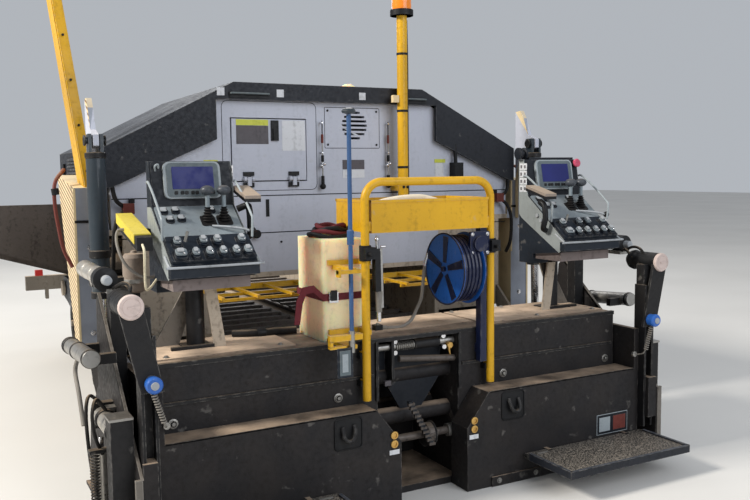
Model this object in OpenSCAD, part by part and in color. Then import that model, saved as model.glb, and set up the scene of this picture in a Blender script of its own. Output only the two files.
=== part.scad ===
/* [Ground and tractor] */
// Half width of the engine body under its hood
body_half = 1150; // [1100:5:1200]
// Distance from the rear face of the extensions to the rear face of the tractor
tractor_rear = 1010; // [990:5:1060]
// Length of the engine hood
hood_len = 1380; // [1200:10:1440]
// Height of the flat hood top
hood_top = 1880; // [1700:10:2000]
// Height of the outer hood shoulder
hood_shoulder = 1560; // [1500:10:1640]
// Height of the lower edge of the hood skirt
hood_skirt = 1375; // [1300:5:1400]
// Half width of the flat hood top
hood_flat_half = 540; // [400:10:700]
// Thickness of the hood sheet
hood_wall = 25; // [15:1:40]
// Thickness of the body panels
panel_wall = 30; // [15:1:40]
// Height of the floor over the tunnel
deck_floor = 930; // [900:5:960]
// Height of the fender floor over the rear tyres
fender_z = 1150; // [1140:5:1200]
// Thickness of the chassis plates
chassis_wall = 25; // [15:1:30]

/* [Wheels] */
// Radius of the rear drive tyres
rear_tyre_r = 560; // [480:5:580]
// Width of the rear drive tyres
rear_tyre_w = 360; // [300:5:370]
// Distance from the tractor's rear face to the rear axle
rear_axle_back = 890; // [840:5:900]
// Radius of the front steered tyres
front_tyre_r = 270; // [220:5:275]
// Width of the front steered tyres
front_tyre_w = 200; // [160:5:220]
// Distance between the rear and the front axle
wheelbase = 2000; // [1900:10:2100]

/* [Hopper] */
// Length of the hopper
hopper_len = 1900; // [1700:10:1950]
// Height of the hopper floor
hopper_floor = 620; // [610:5:650]
// Reach of each hopper wing from its hinge
wing_reach = 830; // [700:10:860]
// Rise of each hopper wing over its reach
wing_rise = 300; // [240:10:340]
// Height of the upright edge of each wing
wing_lip = 260; // [200:10:300]
// Thickness of the wing plate
wing_wall = 25; // [12:1:30]
// Radius of the push rollers
roller_r = 75; // [60:1:85]
// Length of each push roller
roller_len = 560; // [400:10:600]
// Distance from the hopper's front edge to the roller axis
roller_ahead = 390; // [300:10:450]

/* [Screed] */
// Depth of the main screed box
screed_d = 420; // [400:5:425]
// Height of the walking deck on the screed
deck_z = 710; // [690:5:730]
// Thickness of the screed plates
screed_wall = 12; // [8:1:16]
// Depth of the rear extensions
ext_d = 130; // [110:5:140]
// Height of the step on the rear extensions
ext_top = 440; // [420:5:450]
// Radius of the extension slide tubes
slide_r = 38; // [30:1:42]
// Length of the extension slide tubes
slide_len = 1450; // [1350:10:1500]
// Radius of the augers
auger_r = 175; // [140:5:180]
// Pitch of the auger flights
auger_pitch = 300; // [240:10:340]

/* [Operator fittings] */
// Radius of the yellow hoop's tube
hoop_tube_r = 18; // [15:1:24]
// Half distance between the hoop's legs
hoop_half = 322; // [300:1:330]
// Height of the top of the hoop
hoop_top = 1390; // [1350:5:1450]
// Radius of the hose reel's side discs
reel_r = 165; // [130:5:170]
// Width of a console
console_w = 350; // [300:5:380]
// Height of the top of a console's display head
console_top = 1485; // [1400:5:1520]
// Height of the centre mast's top
mast_top = 2255; // [2100:5:2400]

/* [Hidden] */
$fn = 48;

// Clearances
fit = 0.1;
gap = 6;
gap_wide = 12;

// Lengthwise stations, measured forward from the rear face of the extensions
screed_rear = ext_d + gap;
screed_front = screed_rear + screed_d;
auger_y = 790;
auger_z = 430;
auger_end = body_half - 80;
auger_stub_r = 20;
hood_rear = tractor_rear - 40;
hood_front = hood_rear + hood_len;
rear_axle_y = tractor_rear + rear_axle_back;
front_axle_y = rear_axle_y + wheelbase;
hopper_rear = hood_front + 140;
hopper_front = hopper_rear + hopper_len;
roller_y = hopper_front + roller_ahead;
front_end = roller_y + roller_r;
catwalk_d = 340;
catwalk_lugs = [600, 1080];
flap_axis = 20;
catwalk_z = 130;
rear_end = -(flap_axis + catwalk_d - 30);
mid_y = (front_end + rear_end) / 2;

// Crosswise stations
panel_out = body_half + 20 - hood_wall - gap;
tow_in = body_half - 50;
tow_wall = 40;
tyre_in = tow_in - 40 - rear_tyre_w;
hub_d = 90;
hub_gap = 35;
chassis_half = tyre_in - hub_gap - chassis_wall;
kingpin_x = chassis_half;
screed_half = body_half + 10;
end_plate_in = screed_half + gap_wide;
end_plate_wall = 28;
ext_half = end_plate_in + end_plate_wall;
tow_y = 2600;
tow_z = 720;
tow_pin_r = 30;
slide_z = [520, 330];
slide_y = [screed_rear + 100, screed_rear + 260];
hinge_x = chassis_half + chassis_wall + 30;
hinge_z = hopper_floor + 77;
hinge_pin_r = 12;
hinge_boss_r = 22;
wing_y0 = hopper_rear + gap_wide;
wing_y1 = hopper_front - gap_wide;
tie_r = 25;
hoop_x = 40;
tray_low = 1175;
reel_x = 183;
reel_w = 114;
reel_y = 200;
reel_z = 985;
reel_axle_r = 12;
mast_x = 385;
console_x_left = 930;
console_x_right = 970;
console_y = 400;
console_low = 960;
console_slope_top = 1300;
console_edge = 1090;
roller_z = 520;
hood_pivot_y = hood_front + 30;
hood_pivot_z = hood_top - 70;
hood_pin_r = 12;
hopper_back_top = 1330;
door_x = [-550, -140];
door_z = [1390, 1710];
door_lugs = [-472, -228];
door_pin_r = 5;
grate_z = 850;
lash_y = tractor_rear + 80;
lash_z = 285;
conveyor_rear_y = tractor_rear + 80;
conveyor_turn_r = 65;
conveyor_z = hopper_floor - 20 - conveyor_turn_r;
conveyor_shaft_r = 25;
hood_arm_x = 310;
hood_arm_w = 35;

lift_x = body_half + 74;
lift_pin_r = 15;
lift_drift = 7;
lift_low_pin_r = 16;
lift_top_y = tractor_rear - 150;
lift_top_z = 1585;
lift_low_y = 830;
lift_low_z = 410;
lift_span = norm([lift_top_y - lift_low_y, lift_top_z - lift_low_z]);
lift_lean = atan2(lift_top_y - lift_low_y, lift_top_z - lift_low_z);

module machine() {
    translate([0, -mid_y, 0]) children();
}

// Both sides of the machine, from one drawn on the right
module both_sides() {
    children();
    mirror([1, 0, 0]) children();
}

module on_side(side) {
    if (side < 0) mirror([1, 0, 0]) children();
    else children();
}

// A plate drawn in the Y-Z plane and given its thickness along X
module side_plate(x, thickness, points) {
    translate([x, 0, 0])
        rotate([90, 0, 90])
            linear_extrude(thickness)
                polygon(points);
}

// A plate drawn in the X-Z plane and given its thickness along Y
module cross_plate(y, thickness, points) {
    translate([0, y + thickness, 0])
        rotate([90, 0, 0])
            linear_extrude(thickness)
                polygon(points);
}

module box(low, high) {
    translate(low) cube(high - low);
}

module rod_x(x, y, z, length, r) {
    translate([x, y, z]) rotate([0, 90, 0]) cylinder(h = length, r = r);
}

module rod_y(x, y, z, length, r) {
    translate([x, y, z]) rotate([-90, 0, 0]) cylinder(h = length, r = r);
}

module rod_z(x, y, z, length, r) {
    translate([x, y, z]) cylinder(h = length, r = r);
}

// Outline of the hood seen from behind, lowered inward by a wall
function hood_outline(wall) = [
    [-body_half - 20 + wall, hood_skirt],
    [-body_half - 20 + wall, hood_shoulder - wall * 0.6],
    [-hood_flat_half, hood_top - wall],
    [hood_flat_half, hood_top - wall],
    [body_half + 20 - wall, hood_shoulder - wall * 0.6],
    [body_half + 20 - wall, hood_skirt]
];

// Outline of the body's end walls, inside the hood and down to the tunnel roof
function body_outline() = [
    [-panel_out, fender_z + chassis_wall], [-panel_out, hood_shoulder - 40],
    [-hood_flat_half, hood_top - 45], [hood_flat_half, hood_top - 45],
    [panel_out, hood_shoulder - 40], [panel_out, fender_z + chassis_wall],
    [chassis_half + chassis_wall, fender_z + chassis_wall], [chassis_half + chassis_wall, deck_floor],
    [-chassis_half - chassis_wall, deck_floor], [-chassis_half - chassis_wall, fender_z + chassis_wall]
];

// A plate with a round bar's outline: two circles joined by straight sides
module capsule_plate(x, thickness, y_low, y_high, z, r) {
    rod_x(x, y_low, z, thickness, r);
    rod_x(x, y_high, z, thickness, r);
    box([x, y_low, z - r], [x + thickness, y_high, z + r]);
}

module chassis() {
    color("dimgray") machine() {
        tunnel_top = deck_floor - chassis_wall;
        both_sides() {
            difference() {
                side_plate(chassis_half, chassis_wall, [
                    [tractor_rear, lash_z - 35], [tractor_rear, deck_floor], [hopper_rear - 40, deck_floor],
                    [hopper_rear - 40, hopper_back_top], [hopper_rear, hopper_back_top],
                    [hopper_rear, hopper_floor + 60], [hopper_front, hopper_floor + 60],
                    [hopper_front, hopper_floor - 60], [rear_axle_y + 1100, hopper_floor - 60],
                    [rear_axle_y + 700, 380], [lash_y + 90, 380], [lash_y + 60, lash_z - 35]
                ]);
                rod_x(chassis_half - 1, lash_y, lash_z, chassis_wall + 2, tie_r);
            }
            // Hinge lugs and pin of the hopper wing
            for (y = [wing_y0 + 60, (wing_y0 + wing_y1) / 2 - 20, wing_y1 - 100])
                box([chassis_half + chassis_wall, y, hinge_z - 50], [hinge_x + 8, y + 40, hinge_z + 14]);
            rod_y(hinge_x, wing_y0 + 20, hinge_z, wing_y1 - wing_y0 - 40, hinge_pin_r);
            // Fender floor over the rear tyre
            box([chassis_half + chassis_wall, tractor_rear, fender_z],
                [body_half, hood_front, fender_z + chassis_wall]);
            // Engine bay side between the tunnel roof and the fender
            box([chassis_half + chassis_wall, tractor_rear, deck_floor - chassis_wall],
                [chassis_half + 2 * chassis_wall, hood_front, fender_z]);
            // Beam that carries the tow point
            box([chassis_half + chassis_wall, tow_y - 60, tow_z - 130],
                [tow_in - gap, tow_y + 60, tow_z - 55]);
            box([tow_in - 90, tow_y - 60, tow_z - 130], [tow_in - gap, tow_y + 60, tow_z + 55]);
            rod_x(tow_in - gap, tow_y, tow_z, tow_wall + 2 * gap + 14, tow_pin_r);
            rod_x(tow_in + tow_wall + gap, tow_y, tow_z, 14, tow_pin_r + 18);
        }
        // Roof of the tunnel and floor of the engine bay
        box([-chassis_half, tractor_rear, tunnel_top], [chassis_half, hopper_rear - 40, deck_floor]);
        // Rear wall of the hopper
        box([-chassis_half, hopper_rear - 40, deck_floor - chassis_wall],
            [chassis_half, hopper_rear, hopper_back_top]);
        both_sides() box([chassis_half + chassis_wall, hopper_rear - 40, deck_floor],
                         [body_half - 100, hopper_rear, hopper_back_top]);
        // Hopper floor under the flights
        box([-chassis_half, tractor_rear + 140, hopper_floor - 60],
            [chassis_half, hopper_front - 150, hopper_floor - 45]);
        // Rear frame plate above the augers
        both_sides() box([chassis_half + chassis_wall, tractor_rear, 640],
                         [tow_in - gap_wide, tractor_rear + chassis_wall, fender_z]);
        // Front apron of the hopper
        box([-chassis_half - chassis_wall, hopper_front, 460],
            [chassis_half + chassis_wall, hopper_front + 20, hopper_floor + 110]);
        both_sides() box([300, hopper_front + 20, 470], [400, roller_y - 150, 570]);
    }
}

module bulkhead() {
    louvre_x = 140;
    louvre_z = 1680;
    louvre_r = 75;
    louvre_pitch = 22.5;
    color("whitesmoke") machine() {
        difference() {
            cross_plate(tractor_rear, panel_wall, body_outline());
            box([door_x[0], tractor_rear - 1, door_z[0]],
                [door_x[1], tractor_rear + panel_wall + 1, door_z[1]]);
            // Slots of the louvre, in a round field
            for (i = [-3 : 3]) {
                slot_z = louvre_z + louvre_pitch * i;
                slot_half = sqrt(louvre_r * louvre_r - pow(louvre_pitch * i, 2));
                box([louvre_x - slot_half, tractor_rear - 1, slot_z - 6],
                    [louvre_x + slot_half, tractor_rear + panel_wall + 1, slot_z + 6]);
            }
        }
        // Hinge lugs and pin of the service door
        for (x = door_lugs)
            box([x, tractor_rear - 24, door_z[0] - 20], [x + 20, tractor_rear, door_z[0] + 24]);
        for (x = door_lugs)
            rod_x(x - 22, tractor_rear - 14, door_z[0] + gap + 8, 64, door_pin_r);
    }
}

module side_panels() {
    color("whitesmoke") machine() {
        both_sides() {
            box([panel_out - panel_wall, tractor_rear + panel_wall, fender_z + chassis_wall],
                [panel_out, hood_front - panel_wall / 2, hood_shoulder - 125]);
            // Work lamp beside the hopper
            box([body_half - 290, hood_front - panel_wall / 2, hood_shoulder - 140],
                [body_half - 110, hood_front + 50, hood_shoulder - 40]);
        }
        cross_plate(hood_front - panel_wall, panel_wall, body_outline());
        // Lugs and pins of the hood's pivots
        both_sides() {
            for (x = [hood_arm_x - gap - 15, hood_arm_x + hood_arm_w + gap])
                side_plate(x, 15, [
                    [hood_front - 5, hood_pivot_z - 25], [hood_pivot_y + 15, hood_pivot_z - 25],
                    [hood_pivot_y + 22, hood_pivot_z], [hood_pivot_y + 15, hood_pivot_z + 22],
                    [hood_front - 5, hood_pivot_z + 22]
                ]);
            rod_x(hood_arm_x - gap - 20, hood_pivot_y, hood_pivot_z, hood_arm_w + 2 * gap + 40, hood_pin_r);
        }
    }
}

module corner_boxes() {
    color("wheat") machine() {
        both_sides() {
            side_plate(body_half + 30, 120, [
                [tractor_rear, 600], [tractor_rear, hood_skirt], [tractor_rear + 500, hood_skirt + 60],
                [tractor_rear + 120, 600]
            ]);
            box([body_half, tractor_rear, fender_z], [body_half + 30, tractor_rear + 200, fender_z + 60]);
            // Lug of the lift cylinder
            difference() {
                side_plate(lift_x - 12, 24, [
                    [tractor_rear - 30, fender_z], [tractor_rear, fender_z],
                    [tractor_rear, lift_top_z + 190], [tractor_rear - 45, lift_top_z + 195],
                    [lift_top_y + 75, lift_top_z + 150], [lift_top_y + 30, lift_top_z + 50],
                    [lift_top_y - 35, lift_top_z + 25], [lift_top_y - 35, lift_top_z - 23],
                    [lift_top_y + 50, lift_top_z - 37], [tractor_rear - 30, lift_top_z - 105]
                ]);
                rod_x(lift_x - 13, lift_top_y, lift_top_z, 26, lift_pin_r + fit);
            }
        }
    }
}

module engine() {
    color("darkslategray") machine()
        box([-380, tractor_rear + 350, deck_floor], [380, hood_front - 190, hood_top - 280]);
}

// One conveyor lane as a closed loop of flights on two chains, with its sprockets
module conveyor_lane(x_in, x_out) {
    chain_d = 20;
    rear_y = conveyor_rear_y;
    front_y = hopper_front - 90;
    mid_z = conveyor_z;
    turn_r = conveyor_turn_r;
    top_z = mid_z + turn_r;
    low_z = mid_z - turn_r;
    pitch = 150;
    count = floor((front_y - rear_y) / pitch);
    for (x = [x_in, x_out - 24]) {
        difference() {
            capsule_plate(x, 24, rear_y, front_y, mid_z, turn_r);
            capsule_plate(x - 1, 26, rear_y, front_y, mid_z, turn_r - chain_d);
        }
        for (y = [rear_y, front_y])
            rod_x(x + 6, y, mid_z, 12, turn_r - chain_d + 2);
    }
    for (y = [rear_y, front_y])
        rod_x(0, y, mid_z, chassis_half, conveyor_shaft_r);
    for (i = [0 : count - 1])
        for (z = [top_z - 14, low_z - 10])
            box([x_in + 12, rear_y + (i + 0.5) * pitch, z],
                [x_out - 12, rear_y + (i + 0.5) * pitch + 40, z + 24]);
}

module conveyor() {
    color("gray") machine() both_sides() conveyor_lane(52, chassis_half - 40);
}

module push_beam() {
    beam_front = roller_y - roller_r - 15;
    lash_x = body_half - 150;
    color("dimgray") machine() {
        box([-body_half - 30, roller_y - 150, roller_z - 60], [body_half + 30, beam_front, roller_z + 60]);
        both_sides() difference() {
            box([lash_x, roller_y - 150, roller_z - 140], [lash_x + chassis_wall, beam_front, roller_z - 55]);
            rod_x(lash_x - 1, roller_y - 120, roller_z - 100, chassis_wall + 2, tie_r);
        }
        both_sides() for (x = [30, 30 + roller_len + 40])
            difference() {
                side_plate(x, 20, [
                    [beam_front - 5, roller_z - 60], [roller_y + 25, roller_z - 30],
                    [roller_y + 25, roller_z + 30], [beam_front - 5, roller_z + 60]
                ]);
                rod_x(x - 1, roller_y, roller_z, 22, 20 + fit);
            }
    }
}

module front_axle() {
    color("dimgray") machine() {
        difference() {
            union() {
                box([-kingpin_x + 60, front_axle_y - 60, front_tyre_r - 50],
                    [kingpin_x - 60, front_axle_y + 60, front_tyre_r + 50]);
                both_sides() for (z = [front_tyre_r - 90, front_tyre_r + 60])
                    box([kingpin_x - 110, front_axle_y - 50, z], [kingpin_x + 40, front_axle_y + 50, z + 30]);
                both_sides() box([kingpin_x - 110, front_axle_y - 50, front_tyre_r - 90],
                                 [kingpin_x - 60, front_axle_y + 50, front_tyre_r + 90]);
            }
            both_sides() rod_z(kingpin_x, front_axle_y, front_tyre_r - 100, 200, 20 + fit);
        }
        // Saddle and keel that carry the hopper floor between the two conveyor lanes
        box([-120, front_axle_y - 80, front_tyre_r + 50], [120, front_axle_y + 80, 450]);
        box([-40, front_axle_y - 80, 450], [40, front_axle_y + 80, hopper_floor - 60]);
    }
}

module rear_hubs() {
    color("darkslategray") machine() both_sides() {
        rod_x(chassis_half + chassis_wall, rear_axle_y, rear_tyre_r, hub_d, 150);
        rod_x(chassis_half + chassis_wall + hub_d, rear_axle_y, rear_tyre_r, rear_tyre_w / 2 + 40, 60);
    }
}

module auger_drive() {
    color("darkslategray") machine() {
        difference() {
            box([-45, auger_y - 70, auger_z - 90], [45, auger_y + 70, auger_z + 180]);
            rod_x(-46, auger_y, auger_z, 92, auger_stub_r + fit);
        }
        difference() {
            box([-45, auger_y + 70, auger_z + 60], [45, tractor_rear + 140, auger_z + 180]);
            rod_x(-46, conveyor_rear_y, conveyor_z, 92, conveyor_shaft_r + fit);
        }
        both_sides() difference() {
            side_plate(auger_end, 15, [
                [auger_y - 60, auger_z - 50], [auger_y + 60, auger_z - 50], [tractor_rear, 640],
                [tractor_rear, 760], [auger_y - 60, auger_z + 90]
            ]);
            rod_x(auger_end - 1, auger_y, auger_z, 17, 30 + fit);
        }
    }
}

module auger_grates() {
    grate_x = [200, 760];
    grate_front = auger_y - 160;
    mesh = 170;
    bar = 14;
    color("gold") machine() both_sides() {
        // Strip on the frame plate, and the crossed square bars
        box([grate_x[0], tractor_rear - bar, grate_z], [grate_x[1], tractor_rear, grate_z + 2 * bar]);
        for (y = [grate_front, grate_front + mesh])
            box([grate_x[0], y, grate_z], [grate_x[1], y + bar, grate_z + bar]);
        for (x = [grate_x[0] + 20 : mesh : grate_x[1]])
            box([x, grate_front - 20, grate_z + bar - 4],
                [x + bar, tractor_rear - bar / 2, grate_z + 2 * bar - 4]);
    }
}

module masts() {
    mast_rise = 1105;
    color("gold") machine() {
        // Centre mast with its beacon
        rod_z(mast_x, hood_rear - 50, 1180, mast_top - 1180, 28);
        for (z = [1240, 1330])
            box([mast_x - 30, hood_rear - 50, z], [mast_x + 30, tractor_rear, z + 40]);
        rod_z(mast_x, hood_rear - 50, mast_top, 30, 60);
        rod_z(mast_x, hood_rear - 50, mast_top + 30, 110, 50);
        // Leaning mast on the left corner box
        difference() {
            translate([-body_half - 75, 0, hood_skirt]) rotate([0, -5, 0])
                side_plate(-25, 50, [
                    [tractor_rear + 20, -20], [tractor_rear + 180, -20], [tractor_rear + 420, mast_rise],
                    [tractor_rear + 300, mast_rise]
                ]);
            side_plate(-body_half - 200, 200, [
                [tractor_rear - 50, hood_skirt - 100], [tractor_rear + 600, hood_skirt - 100],
                [tractor_rear + 600, hood_skirt + 72], [tractor_rear - 50, hood_skirt - 6]
            ]);
        }
    }
}

module hood() {
    color("darkslategray") machine() {
        difference() {
            cross_plate(hood_rear, hood_len, hood_outline(0));
            cross_plate(hood_rear + 20, hood_len, hood_outline(hood_wall));
            // Opening of the rear face around the white bulkhead
            cross_plate(hood_rear - 1, 22, [
                [-body_half + 10, hood_skirt - 1], [-hood_flat_half - 90, hood_shoulder + 40],
                [-hood_flat_half - 90, hood_top - 85], [hood_flat_half + 90, hood_top - 85],
                [hood_flat_half + 90, hood_shoulder + 40], [body_half - 10, hood_skirt - 1]
            ]);
        }
        both_sides() difference() {
            side_plate(hood_arm_x, hood_arm_w, [
                [hood_front - 25, hood_top - hood_wall], [hood_front - 25, hood_top - 5],
                [hood_front, hood_top],
                [hood_pivot_y + 22, hood_pivot_z + 22], [hood_pivot_y + 22, hood_pivot_z],
                [hood_pivot_y, hood_pivot_z - 22], [hood_front + gap, hood_pivot_z],
                [hood_front + gap, hood_top - hood_wall]
            ]);
            rod_x(hood_arm_x - 1, hood_pivot_y, hood_pivot_z, hood_arm_w + 2, hood_pin_r + fit);
        }
    }
}

module service_door() {
    hinge_line = door_z[0] + gap + 8;
    color("white") machine() difference() {
        union() {
            box([door_x[0] + gap, tractor_rear - 4, door_z[0] + gap],
                [door_x[1] - gap, tractor_rear + 22, door_z[1] - gap]);
            for (x = door_lugs)
                rod_x(x - 18, tractor_rear - 14, hinge_line, 56, 12);
        }
        for (x = door_lugs)
            box([x - 3, tractor_rear - 34, door_z[0]], [x + 23, tractor_rear + 6, door_z[0] + 34]);
        for (x = door_lugs)
            rod_x(x - 25, tractor_rear - 14, hinge_line, 70, door_pin_r + fit);
    }
}

// A tyre on an axle along X, its centre at the origin
module tyre(r, w, rim_r, lugs) {
    rotate([0, 90, 0]) rotate_extrude($fn = 96)
        polygon([
            [rim_r, -w * 0.40], [r - 90, -w / 2], [r - 50, -w * 0.48], [r - 30, -w * 0.36],
            [r - 30, w * 0.36], [r - 50, w * 0.48], [r - 90, w / 2], [rim_r, w * 0.40]
        ]);
    intersection() {
        rotate([0, 90, 0]) cylinder(h = w, r = r, center = true, $fn = 96);
        for (i = [0 : lugs - 1])
            for (half = [-1, 1])
                rotate([(i + 0.25 * (half + 1)) * 360 / lugs, 0, 0])
                    translate([half < 0 ? -w * 0.46 : w * 0.02, -25, -r - 5])
                        cube([w * 0.44, 50, 50]);
    }
}

module rear_tyre(side) {
    color("black") machine() on_side(side)
        translate([tyre_in + rear_tyre_w / 2, rear_axle_y, rear_tyre_r])
            tyre(rear_tyre_r, rear_tyre_w, 300, 20);
}

module rear_rim(side) {
    color("gold") machine() on_side(side)
        translate([tyre_in + rear_tyre_w / 2, rear_axle_y, rear_tyre_r]) rotate([0, 90, 0]) {
            rotate_extrude($fn = 96)
                polygon([
                    [60 + fit, -20], [270, -20], [270, -rear_tyre_w * 0.4], [300, -rear_tyre_w * 0.4],
                    [300, rear_tyre_w * 0.4], [270, rear_tyre_w * 0.4], [270, 20], [150, 40],
                    [135, 105], [90, 120], [60 + fit, 120]
                ]);
            // Cap over the axle's end
            translate([0, 0, 101]) cylinder(h = 17, r = 75);
        }
}

module knuckle(side) {
    color("dimgray") machine() on_side(side)
        translate([kingpin_x, front_axle_y, front_tyre_r]) {
            translate([-30, -35, -59]) cube([70, 70, 118]);
            rod_z(0, 0, -95, 190, 20);
            rod_x(40, 0, 0, 50 + front_tyre_w, 25);
        }
}

module front_wheel(side) {
    color("black") machine() on_side(side)
        translate([kingpin_x + 60 + front_tyre_w / 2, front_axle_y, front_tyre_r])
            rotate([0, 90, 0]) rotate_extrude($fn = 72)
                polygon([
                    [25 + fit, -front_tyre_w * 0.3], [80, -front_tyre_w * 0.3], [150, -front_tyre_w * 0.1],
                    [170, -front_tyre_w * 0.5], [front_tyre_r - 15, -front_tyre_w * 0.5],
                    [front_tyre_r, -front_tyre_w * 0.42], [front_tyre_r, front_tyre_w * 0.42],
                    [front_tyre_r - 15, front_tyre_w * 0.5], [170, front_tyre_w * 0.5],
                    [150, front_tyre_w * 0.1], [80, front_tyre_w * 0.3], [25 + fit, front_tyre_w * 0.3]
                ]);
}

module hopper_wing(side) {
    edge_z = hinge_z + wing_rise;
    color("silver") machine() on_side(side) difference() {
        union() {
            cross_plate(wing_y0, wing_y1 - wing_y0, [
                [hinge_x + 2, hinge_z + 14], [hinge_x + 14, hinge_z - wing_wall + 14],
                [hinge_x + wing_reach, edge_z - wing_wall], [hinge_x + wing_reach + wing_wall, edge_z],
                [hinge_x + wing_reach + wing_wall, edge_z + wing_lip],
                [hinge_x + wing_reach, edge_z + wing_lip],
                [hinge_x + wing_reach, edge_z + 10]
            ]);
            cross_plate(wing_y0, wing_wall, [
                [hinge_x + 60, hinge_z + 20], [hinge_x + wing_reach, edge_z],
                [hinge_x + wing_reach, edge_z + wing_lip], [hinge_x + 400, edge_z + wing_lip]
            ]);
            // Ribs under the sheet
            for (i = [0 : 4])
                cross_plate(wing_y0 + 190 + 0.2 * i * (wing_y1 - wing_y0), 12, [
                    [hinge_x + 150, hinge_z + 45], [hinge_x + 175, hinge_z + 22],
                    [hinge_x + wing_reach + wing_wall, edge_z - wing_wall - 38],
                    [hinge_x + wing_reach + wing_wall, edge_z + 5]
                ]);
            rod_y(hinge_x, wing_y0 + 22, hinge_z, wing_y1 - wing_y0 - 44, hinge_boss_r);
        }
        rod_y(hinge_x, wing_y0 - 1, hinge_z, wing_y1 - wing_y0 + 2, hinge_pin_r + fit);
        // Slots for the lugs on the chassis
        for (y = [wing_y0 + 60, (wing_y0 + wing_y1) / 2 - 20, wing_y1 - 100])
            box([hinge_x - 60, y - 5, hinge_z - 60], [hinge_x + 34, y + 45, hinge_z + 60]);
    }
}

module push_roller(side) {
    color("darkgray") machine() on_side(side) {
        rod_x(30 + 20 + 4, roller_y, roller_z, roller_len + 12, roller_r);
        rod_x(30, roller_y, roller_z, roller_len + 60, 20);
    }
}

// Flight of an auger as a swept plate, drawn with its axis along Z
module flight(r, core, length, pitch, thickness, hand) {
    steps = 16;
    turns = length / pitch;
    count = floor(turns * steps);
    points = [
        for (i = [0 : count])
            let (a = hand * i * 360 / steps, z = i * pitch / steps)
                for (p = [[core, 0], [r, 0], [r, thickness], [core, thickness]])
                    [p[0] * cos(a), p[0] * sin(a), z + p[1]]
    ];
    sides = [
        for (i = [0 : count - 1])
            for (k = [0 : 3])
                let (a = 4 * i + k, b = 4 * i + (k + 1) % 4)
                    each [[a, b, b + 4], [a, b + 4, a + 4]]
    ];
    faces = concat([[3, 2, 1, 0]], sides, [[for (k = [0 : 3]) 4 * count + k]]);
    polyhedron(points, hand > 0 ? faces : [for (f = faces) [for (k = [len(f) - 1 : -1 : 0]) f[k]]]);
}

module auger(side) {
    color("dimgray") machine() on_side(side) {
        rod_x(2, auger_y, auger_z, 60, auger_stub_r);
        rod_x(45.3, auger_y, auger_z, auger_end + 15 - 45.3, 30);
        translate([60, auger_y, auger_z]) rotate([0, 90, 0])
            flight(auger_r, 28, auger_end - 90, auger_pitch, 14, 1);
    }
}

module along_lift(side) {
    machine() on_side(side)
        translate([lift_x, lift_top_y, lift_top_z])
            rotate([-lift_lean, 0, 0])
                mirror([0, 0, 1])
                    children();
}

module lift_barrel(side) {
    color("slategray") along_lift(side) {
        difference() {
            union() {
                rod_z(0, 0, 60, 640, 42);
                for (x = [-32, 18])
                    translate([x, -28, -28]) cube([14, 56, 96]);
            }
            rod_z(0, 0, 100, 700, 22 + fit);
        }
        rod_x(-40, 0, 0, 80, lift_pin_r);
    }
}

module lift_rod(side) {
    color("silver") along_lift(side) {
        rod_z(0, 0, 400, lift_span - 400 - 30, 22);
        difference() {
            rod_x(-16, 0, lift_span, 32, 36);
            rod_x(-17, 0, lift_span, 34, lift_low_pin_r + lift_drift);
        }
    }
}

module tow_arms() {
    color("dimgray") machine() both_sides() {
        difference() {
            side_plate(tow_in, tow_wall, [
                [screed_front, 280], [screed_front, 520], [tow_y - 60, tow_z + 75], [tow_y + 60, tow_z + 70],
                [tow_y + 70, tow_z - 60], [tow_y - 90, tow_z - 80], [screed_front + 320, 300]
            ]);
            rod_x(tow_in - 1, tow_y, tow_z, tow_wall + 2, tow_pin_r + fit);
        }
        rod_x(tow_in + tow_wall, lift_low_y, lift_low_z, lift_x + 24 - tow_in - tow_wall, lift_low_pin_r);
    }
}

module main_screed() {
    rib_x = 700;
    pocket = 210;
    sprocket_z = 245;
    color("darkslategray") machine() {
        difference() {
            box([-screed_half, screed_rear, 0], [screed_half, screed_front, deck_z]);
            both_sides()
                for (x = [[pocket + screed_wall, rib_x], [rib_x + screed_wall, screed_half - screed_wall]])
                    box([x[0], screed_rear + screed_wall, 20],
                        [x[1], screed_front - screed_wall, deck_z - screed_wall]);
            box([-pocket, screed_rear - 1, 30], [pocket, screed_front - screed_wall, deck_z - screed_wall]);
            for (y = slide_y)
                for (z = slide_z)
                    rod_x(-screed_half - 1, y, z, 2 * screed_half + 2, slide_r + fit);
        }
        // Adjusting shaft and sprocket shaft across the middle pocket
        rod_x(-pocket - 4, screed_rear + 44, deck_z - 50, 2 * pocket + 8, 16);
        rod_x(-pocket - 4, screed_rear + 22, sprocket_z, 2 * pocket + 8, 18);
        rod_x(35, screed_rear + 22, sprocket_z, 45, 50);
    }
}

module hoop_frame() {
    leg_y = 95;
    bend = 80;
    color("gold") machine() translate([hoop_x, 0, 0]) {
        both_sides() {
            rod_z(hoop_half, leg_y, ext_top + 20, hoop_top - bend - ext_top - 20, hoop_tube_r);
            translate([hoop_half - bend, leg_y, hoop_top - bend]) rotate([90, 0, 0])
                rotate_extrude(angle = 90) translate([bend, 0]) circle(r = hoop_tube_r);
            for (z = [520, 640])
                box([hoop_half - 15, leg_y + 10, z], [hoop_half + 15, screed_rear, z + 30]);
            box([hoop_half - hoop_tube_r - 6, leg_y - 10, tray_low + 10],
                [hoop_half - 5, leg_y + 30, tray_low + 50]);
        }
        rod_x(-hoop_half + bend, leg_y, hoop_top, 2 * (hoop_half - bend), hoop_tube_r);
    }
}

module tool_tray() {
    tray_half = hoop_half - hoop_tube_r - 6;
    tray_wall = 4;
    color("gold") machine() translate([hoop_x, 0, tray_low]) difference() {
        box([-tray_half, 80, 0], [tray_half, 420, 135]);
        box([-tray_half + tray_wall, 80 + tray_wall, tray_wall],
            [tray_half - tray_wall, 420 - tray_wall, 136]);
    }
}

module wash_tank() {
    color("cornsilk") machine() hull()
        for (x = [-415, -265], y = [210, 450])
            rod_z(x, y, deck_z, 440, 20, $fn = 24);
}

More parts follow.
